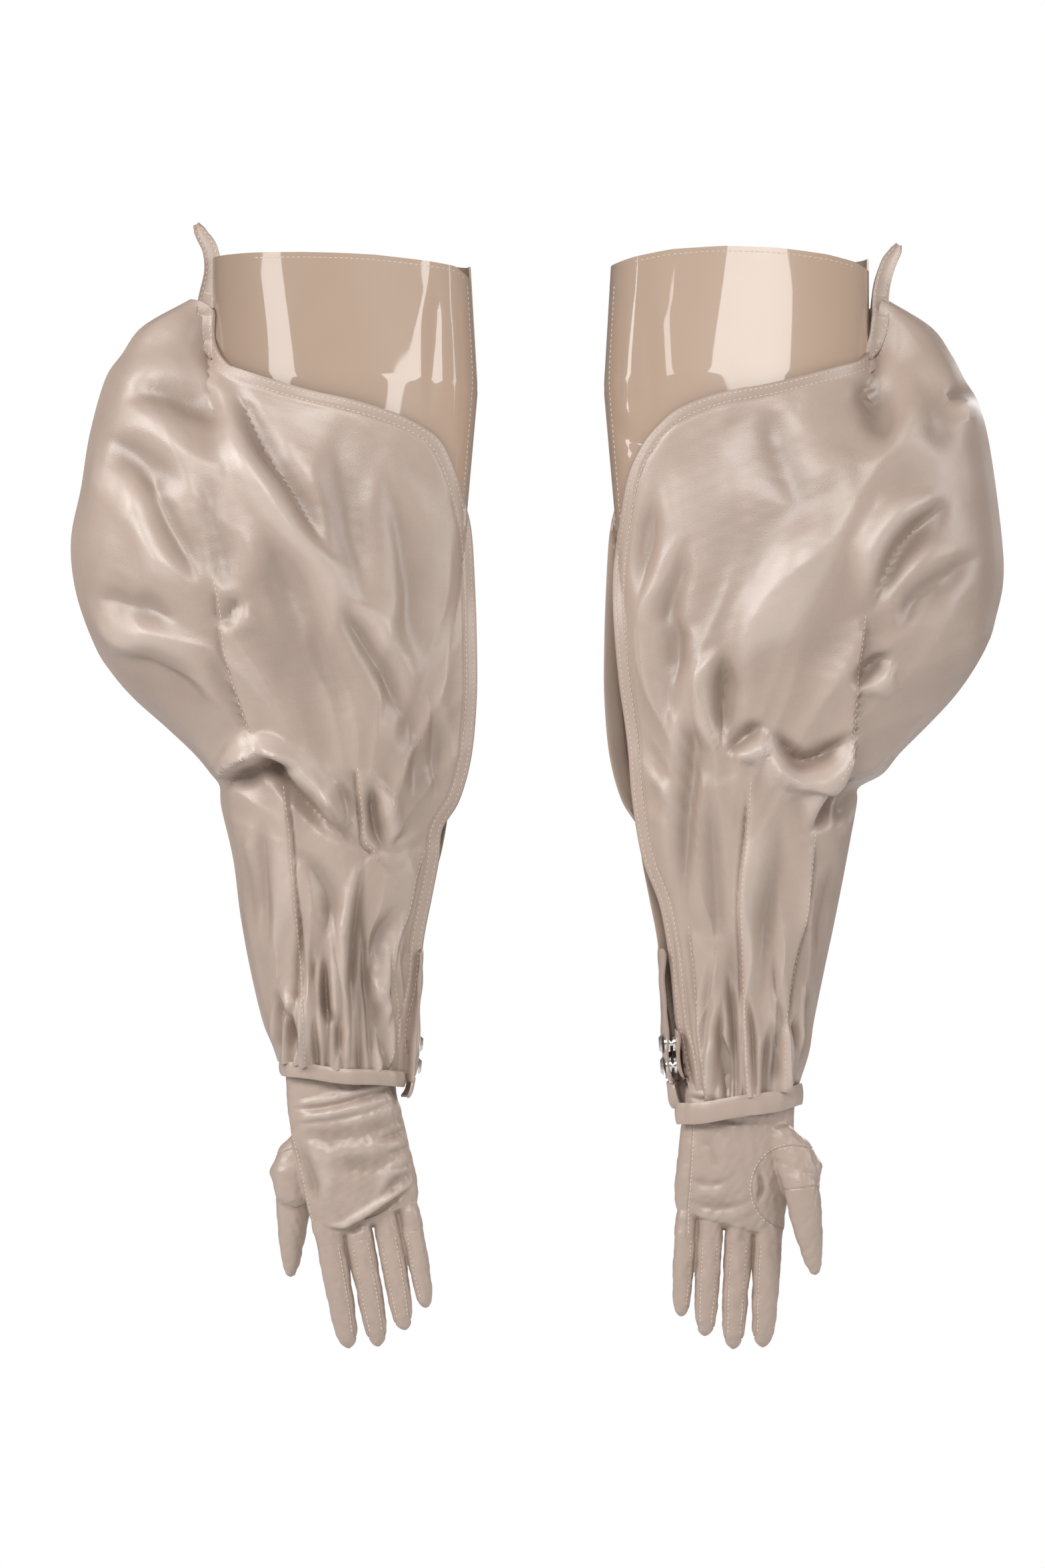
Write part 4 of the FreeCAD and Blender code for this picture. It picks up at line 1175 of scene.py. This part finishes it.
def hand_skin(glove):
    """Palm, four stalls, thumb and ball of the thumb, made into one closed skin."""
    shapes = []
    piece, points = egg(PALM_LEVELS, 56, 48)
    points[:, 2] += 0.22 * (points[:, 0] + 12) * soft_step((-points[:, 2] - 40) / 30)
    set_points(piece, points)
    shapes.append(piece)
    for finger, (wide, deep, long) in STALL.items():
        piece, points = stall_shape(wide, deep, long, 16)
        set_points(piece, points + KNUCKLES[glove][finger])
        shapes.append(piece)
    piece, points = stall_shape(*THUMB, 26, THUMB_TAPER)
    points += soft_step((points[:, [2]] + 2) / 26) * (5.0, -6.0, 0)
    set_points(piece, thumb_place(points))
    shapes.append(piece)
    piece, points = egg(MOUND, 32, 32)
    set_points(piece, thumb_place(points + (0, -5, 0)))
    shapes.append(piece)
    deselect()
    for piece in shapes:
        piece.select_set(True)
    bpy.context.view_layer.objects.active = shapes[0]
    bpy.ops.object.join()
    skin = name_piece(f"{glove}_skin")
    apply_modifier(skin, "REMESH", mode="VOXEL", voxel_size=VOXEL)
    apply_modifier(skin, "SMOOTH", factor=0.5, iterations=9)
    return skin


# %% The creases of the hand
# Each row is as a panel's fold, in the hand's own frame. Gusset: its middle and its half size.
CREASE_STRENGTH = 1.5
BACK_CREASES = [
    ([(-36, 3), (-10, 0), (15, 2), (36, 6)], 1.3, 2.4, 0.4, 0.8, 1),
    ([(-36, -6), (-14, -8), (12, -7), (36, -3)], 1.2, 2.6, 0.35, 0.8, 1),
    ([(38, -20), (26, -24), (14, -25)], 1.0, 2.5, 0.4, 0.6, 0),
    ([(38, -30), (28, -33), (20, -33)], 0.9, 2.2, 0.4, 0.6, 0),
    ([(38, -41), (27, -43), (20, -42)], 0.9, 2.2, 0.4, 0.6, 0),
    ([(-26, -68), (-12, -74), (0, -71), (12, -66), (24, -60), (37, -53)], 2.3, 2.6, 0.4, 0.9, 1),
    ([(-60, -31), (-43, -36), (-28, -46)], 1.1, 2.6, 0.4, 0.9, 1),
    ([(-34, -12), (6, -19), (46, -13)], 1.5, 6.5, 0.0, 0.9, 1),
    ([(-30, -14), (-25, -34), (-22, -58)], 1.2, 5.0, 0.0, 0.9, 1),
    ([(-20, -34), (4, -38), (36, -36)], 1.1, 6.5, 0.0, 0.9, 1),
    ([(12, -60), (24, -50), (38, -46)], 1.4, 3.5, 0.2, 0.8, 1),
    ([(-30, -20), (-26, -40), (-24, -60)], 0.8, 3.5, 0.2, 0.5, 0),
    ([(-12, -30), (2, -34), (14, -42)], 0.5, 6.0, 0.0, 0.5, 0),
]
PALM_CREASES = [
    ([(-34, 2), (-8, 0), (18, 1), (36, 3)], 1.2, 2.4, 0.4, 0.8, 1),
    ([(-30, -8), (-10, -11), (12, -9), (30, -6)], 0.9, 2.6, 0.3, 0.6, 1),
    ([(-12, -36), (-15, -48), (-13, -60)], 1.3, 2.0, 0.5, 0.8, 0),
    ([(30, -58), (12, -62), (-6, -58), (-14, -50)], 0.9, 3.0, 0.3, 0.6, 1),
    ([(30, -44), (16, -48), (2, -44)], 0.8, 3.0, 0.3, 0.6, 1),
    ([(22, -16), (14, -30), (8, -40)], 0.6, 4.0, 0.2, 0.5, 0),
    ([(-8, -70), (-6, -76), (-8, -84)], 0.6, 2.5, 0.3, 0.5, 0),
]
GUSSET_MIDDLE, GUSSET_HALF = (-34.0, -47.0), (24.5, 25.0)
FORK_AT = 0.62
KNUCKLE_CUT = -81.0


def crease_hand(points):
    x, y, z = points[:, 0], points[:, 1], points[:, 2]
    height = np.zeros(len(points))
    for creases, facing in ((BACK_CREASES, -1), (PALM_CREASES, 1)):
        own = np.zeros(len(points))
        for line, depth, *shape in creases:
            press_fold(own, x, z, line, CREASE_STRENGTH * depth, *shape)
        height += own * soft_step(facing * y / 6)
    height += 0.22 * ripples(x, z + 0.7 * y, 13, 31) + 0.12 * ripples(x + y, z, 6, 32)
    puckers = 0.10 * np.sin(z / 2.3 + 2 * np.sin(z / 7) + x / 3)
    return height + soft_step((-z - 84) / 10) * puckers * soft_step((-z - 90) / 20)


# %% Which piece of the glove a face belongs to
def face_regions(glove, centres):
    x, y, z = centres.T
    names = np.full(len(centres), "back", dtype=object)
    names[(y > 0) & ((x < 27) | (z > -10))] = "palm"
    in_gusset = np.hypot((x - GUSSET_MIDDLE[0]) / GUSSET_HALF[0], (z - GUSSET_MIDDLE[1]) / GUSSET_HALF[1]) < 1
    names[in_gusset & ((y > 0) | (x < -31.0)) & (z < -14)] = "gusset"
    knuckles = np.array([KNUCKLES[glove][finger][0] for finger in FINGERS])
    nearest = np.abs(x[:, None] - knuckles[None, :]).argmin(1)
    for number, finger in enumerate(FINGERS):
        mine = (z < KNUCKLE_CUT) & (nearest == number)
        beside = x - knuckles[number]
        fork_side = FORK_AT * STALL[finger][0] / 2
        strip = mine & (z > -78.5 - 0.9 * STALL[finger][2])
        names[mine] = f"{finger}_stall"
        if finger != "little":
            names[strip & (beside > fork_side)] = f"{finger}_fork"
        if finger != "index":
            names[strip & (beside < -fork_side)] = f"{finger}_fork"
    own = thumb_own(centres)
    from_thumb = np.hypot(own[:, 0] / (THUMB[0] / 2), own[:, 1] / (THUMB[1] / 2))
    from_palm = np.hypot(x / 34.3, y / 15.5)
    in_thumb = (own[:, 2] < 0) & (from_thumb < 1.35) & ((from_thumb < from_palm) | (z < -76)) & (x < -27)
    names[in_thumb] = "thumb_stall"
    return names


# %% Straight cuts
def relax_cuts(skin, names):
    """Straightens the stepped lines where two regions meet."""
    mesh = skin.data
    pairs = {}
    for face, name in zip(mesh.polygons, names):
        for key in face.edge_keys:
            pairs.setdefault(key, []).append(name)
    border = [key for key, owners in pairs.items() if len(set(owners)) > 1]
    links = {}
    for a, b in border:
        links.setdefault(a, []).append(b)
        links.setdefault(b, []).append(a)
    points = get_points(skin)
    for _ in range(14):
        before = points.copy()
        for point, near in links.items():
            if len(near) == 2:
                points[point] = 0.5 * before[point] + 0.25 * (before[near[0]] + before[near[1]])
    return points, np.array(sorted(links))


# %% [markdown]
# ## The joints of the hand
# A rigid cut would tear at a knuckle. For each region of the hand, the two bodies it would bend
# between and the places where that bend would start and end are worked out, but the pieces are not
# bound to them and stay where they are made. Each region stands for one node of the frame.

# %% Cutting the hand
SEAM_DEEP, WRIST_END = 0.4, 27.0
HAND_NODES = {"back": "hand_back", "palm": "hand_palm", "gusset": "thumb_gusset", "thumb_stall": "thumb"}
for finger in FINGERS:
    HAND_NODES[f"{finger}_stall"] = f"{finger}_finger"
    HAND_NODES[f"{finger}_fork"] = f"{finger}_fourchette"


def joint_blend(glove, region):
    """The two bodies that a region of the hand bends between, and where, in the pair's frame."""
    def put(point):
        return tuple(half_turned(glove, hand_to_glove(glove, np.array(point, float))) * MM)

    if region in ("back", "palm", "gusset"):
        return f"{glove}_sleeve", f"{glove}_hand", put((0, 0, 2)), put((0, 0, -13))
    if region == "thumb_stall":
        return f"{glove}_hand", f"{glove}_thumb", put((-34, 13, -66)), put((-48, 13, -80))
    finger = region.split("_")[0]
    x = KNUCKLES[glove][finger][0]
    return f"{glove}_hand", f"{glove}_{finger}", put((x, 0, KNUCKLE_CUT - 1)), put((x, 0, KNUCKLE_CUT - 13))


def cut_hand(glove):
    """Creases the skin and cuts it into its pieces. Gives back the creased surface for rays."""
    skin = hand_skin(glove)
    mesh = skin.data
    centres = np.array([f.center for f in mesh.polygons]) / MM
    names = face_regions(glove, centres)
    points, seam_points = relax_cuts(skin, names)
    set_points(skin, points)
    normals = np.array([v.normal for v in mesh.vertices])
    height = crease_hand(points)
    seams = seam_points[np.abs(points[seam_points, 2] - KNUCKLE_CUT) > 1.5]
    height[seams] -= SEAM_DEEP
    points = points + normals * height[:, None]
    faces = [tuple(f.vertices) for f in mesh.polygons]
    placed = half_turned(glove, hand_to_glove(glove, points)) * MM
    for region, node in HAND_NODES.items():
        mine = [f for f, name, c in zip(faces, names, centres) if name == region and c[2] < WRIST_END]
        used = sorted({i for f in mine for i in f})
        number = {old: new for new, old in enumerate(used)}
        part = bpy.data.meshes.new(f"{glove}_{region}")
        part.from_pydata(placed[used].tolist(), [], [tuple(number[i] for i in f) for f in mine])
        piece = bpy.data.objects.new(f"{glove}_{region}_skin", part)
        bpy.context.collection.objects.link(piece)
        # The crease heights, 1.6 times stronger, go to the material, which paints shade into the creases.
        store(piece, "fold", height[used] * 1.6)
        apply_modifier(piece, "SOLIDIFY", thickness=0.9 * MM, offset=-1, use_rim=True)
        smooth_shade(piece, 50)
        finish(piece, LEATHER)
        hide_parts(f"{glove}_{node}")
        joint_blend(glove, region)
        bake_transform(piece)
        print(piece.name, len(part.polygons), "faces")
    bpy.data.objects.remove(skin)
    return BVHTree.FromPolygons(points.tolist(), faces)


hand_trees = {glove: cut_hand(glove) for glove in GLOVES}

# %% [markdown]
# ## Seams of the hand
# Fine stitches run beside the gusset, down the sides of the four finger stalls that face another
# finger, and along the little finger's side of the palm.

# %% Stitches of the hand
HAND_PITCH = 2.4


def hand_row(glove, side, line):
    """Stitch spots on the hand, found in the hand's own frame."""
    spots = []
    dots = even_points(np.asarray(line, float), HAND_PITCH)
    for before, after in zip(dots, dots[1:]):
        found = touch(hand_trees[glove], side, *((before + after) / 2))
        if found is None:
            continue
        normal = np.array(found[1])
        place = np.array(found[0]) + STITCH_ABOVE * normal
        way = np.array([after[0] - before[0], 0, after[1] - before[1]])
        root = hand_to_glove(glove, place)
        turned = hand_to_glove(glove, place + way) - root
        upright = hand_to_glove(glove, place + normal) - root
        spots.append((half_turned(glove, root) * MM, turned_way(glove, turned), turned_way(glove, upright)))
    return spots


# %% Rows round the gusset, beside the palm and down the stalls
angles = np.linspace(0.25, 2.7, 40)
beyond = np.array(GUSSET_HALF) + 1.2
ROUND_GUSSET = np.array(GUSSET_MIDDLE) + beyond * np.stack([np.sin(angles), np.cos(angles)], -1)
GUSSET_BACK = [(-32, -12), (-30.5, -30), (-30, -50), (-29, -66)]
PALM_SIDE = [(26, -12), (26, -40), (26.4, -60), (25.6, -78)]
# Share of the stall's length, share of its width there.
STALL_ROW = [(0.06, 0.9), (0.3, 0.9), (0.6, 0.86), (0.85, 0.7)]
OUTER_SIDE = {"index": -1, "little": 1}


def stall_spots(glove, finger):
    wide, _, long = STALL[finger]
    x, _, z = KNUCKLES[glove][finger]
    spots = []
    for way in (-1, 1):
        if OUTER_SIDE.get(finger) == way:
            continue
        seam = way * FORK_AT * wide / 2
        row = smooth_line([(x + seam * share, z - long * t) for t, share in STALL_ROW])
        for side in FACING:
            spots += hand_row(glove, side, row)
    return spots


for glove in GLOVES:
    spots = hand_row(glove, "back", ROUND_GUSSET)
    spots += hand_row(glove, "front", smooth_line(GUSSET_BACK))
    spots += hand_row(glove, "back", smooth_line(PALM_SIDE))
    sew(f"{glove}_hand_stitches", spots, joint_blend(glove, "back"))
    for finger in FINGERS:
        sew(f"{glove}_{finger}_stitches", stall_spots(glove, finger), joint_blend(glove, f"{finger}_stall"))

# %% [markdown]
# ## Studio
# The camera sees pure white all round. The floor and the surround are therefore white to the
# camera only, through Is Camera Ray, and give the gloves just a little light. Four soft panels
# model the folds of the leather. The patent leather has lamps of its own: on each glove a fill and
# three tall strips, whose mirror images are the long streaks down the cuff. Light linking keeps
# each lamp on its own pieces, so that the streaks can be placed without changing the folds.

# %% White to the camera
VIEW_HEIGHT, LENS, FILM = 0.9177, 85.0, 36.0
MIDDLE = Vector((0.1053, 0, -0.3048))
WHITE = (1, 1, 1, 1)


def seen_white(tree, other, output, kind):
    """The camera sees plain white, and every other ray meets the other shader."""
    seen = add_node(tree, kind, {"Color": WHITE, "Strength": 1.0})
    path = add_node(tree, "LightPath")
    sockets = {0: path.outputs["Is Camera Ray"], 1: other.outputs[0], 2: seen.outputs[0]}
    either = add_node(tree, "MixShader", sockets)
    tree.links.new(either.outputs[0], output.inputs["Surface"])


deselect()
bpy.ops.mesh.primitive_plane_add(size=6, location=(MIDDLE.x, 0, -0.80))
floor = name_piece("studio_floor")
material = bpy.data.materials.new("pale_floor")
material.use_nodes = True
tree = material.node_tree
shader = tree.nodes["Principled BSDF"]
shader.inputs["Base Color"].default_value = (0.80, 0.80, 0.80, 1)
shader.inputs["Roughness"].default_value = 0.9
seen_white(tree, shader, tree.nodes["Material Output"], "Emission")
floor.data.materials.append(material)

world = bpy.data.worlds.new("white_surround")
bpy.context.scene.world = world
world.use_nodes = True
tree = world.node_tree
tree.nodes.clear()
lit = add_node(tree, "Background", {"Color": WHITE, "Strength": 0.20})
seen_white(tree, lit, add_node(tree, "OutputWorld"), "Background")


# %% Lamps that light only some pieces
def area_lamp(name, place, turn, wide, tall, power, pieces):
    """A rectangular lamp at a place, turned by a matrix, whose light is kept on some pieces."""
    data = bpy.data.lights.new(name, "AREA")
    data.shape = "RECTANGLE"
    data.size, data.size_y, data.energy = wide, tall, power
    lamp = bpy.data.objects.new(name, data)
    bpy.context.collection.objects.link(lamp)
    lamp.matrix_world = Matrix.Translation(place) @ turn.to_4x4()
    chosen = bpy.data.collections.new(f"{name}_pieces")
    for piece in pieces:
        chosen.objects.link(piece)
    lamp.light_linking.receiver_collection = chosen


def soft_light(name, place, wide, tall, power, pieces):
    """A lamp that looks at the gloves' middle."""
    way = Vector(AIM) - Vector(place)
    area_lamp(name, Vector(place), way.to_track_quat("-Z", "Y").to_matrix(), wide, tall, power, pieces)


AIM = (MIDDLE.x, 0, -0.25)
CUFF_CENTRE = {glove: half_turned(glove, (0, 0, 0))[0] * MM for glove in GLOVES}
glossy = {glove: [bpy.data.objects[f"{glove}_patent_{side}"] for side in FACING] for glove in GLOVES}
shiny = glossy["first"] + glossy["second"]
plain = [piece for piece in bpy.data.objects if piece.type == "MESH" and piece not in shiny]
soft_light("left_panel", (-1.7, -1.1, 0.7), 0.9, 1.2, 33, plain)
soft_light("right_panel", (1.9, -0.9, 0.3), 0.8, 1.3, 15, plain)
soft_light("top_panel", (MIDDLE.x - 0.3, -1.9, 0.75), 1.3, 0.5, 24, plain)
soft_light("back_panel", (MIDDLE.x + 0.6, 1.7, 0.3), 1.6, 1.2, 18, plain)
for glove in GLOVES:
    soft_light(f"{glove}_patent_fill", (CUFF_CENTRE[glove], -3.4, 2.2), 1.5, 1.0, 60, glossy[glove])


# %% The strips that the patent leather mirrors
STRIP_FAR = 2.0
STRIP_TOP, STRIP_FOOT = 0.30, 0.02


def strip_light(glove, name, high, low, wide, strength):
    """A long lamp whose mirror image runs down the cuff. High and low are where its middle line is
    seen from the cuff's top and from its lower part, as degrees round from the camera."""
    centre = CUFF_CENTRE[glove]
    ends = []
    for degrees, height in ((high, STRIP_TOP), (low, STRIP_FOOT)):
        turn = math.radians(degrees)
        ends.append(Vector((centre + STRIP_FAR * math.sin(turn), -STRIP_FAR * math.cos(turn), height)))
    middle = (ends[0] + ends[1]) / 2
    along = (ends[0] - ends[1]).normalized()
    outward = (middle - Vector((centre, 0, -0.09))).normalized()
    across = along.cross(outward).normalized()
    turn = Matrix((across, outward.cross(across), outward)).transposed()
    long = 1.25 * (ends[0] - ends[1]).length
    size = STRIP_FAR * math.radians(wide)
    area_lamp(f"{glove}_{name}", middle, turn, size, long, strength * size * long * math.pi, glossy[glove])


strip_light("first", "left_strip", -33, -30, 13, 7)
strip_light("first", "right_strip", 36, 13, 8, 7)
strip_light("first", "far_strip", 66, 60, 8, 5)
strip_light("second", "left_strip", -26, -24, 8, 6)
strip_light("second", "right_strip", 2, 18, 15, 7)
strip_light("second", "far_strip", -60, -66, 9, 8)
print(len(bpy.data.lights), "lamps")

# %% [markdown]
# ## Camera
# A long lens stands straight in front, so that the tall gloves aren't drawn together at their
# ends. Its distance follows from the height of the view and the lens.

# %% The camera
away = VIEW_HEIGHT * LENS / FILM
camera_data = bpy.data.cameras.new("camera")
camera_data.lens, camera_data.sensor_fit, camera_data.sensor_height = LENS, "VERTICAL", FILM
camera = bpy.data.objects.new("camera", camera_data)
bpy.context.collection.objects.link(camera)
upright = Matrix.Rotation(math.radians(90), 4, "X")
camera.matrix_world = Matrix.Translation(MIDDLE - Vector((0, away, 0))) @ upright
bpy.context.scene.camera = camera
bpy.context.scene.view_settings.view_transform = "Standard"
print("the camera stands", round(away, 3), "m in front")
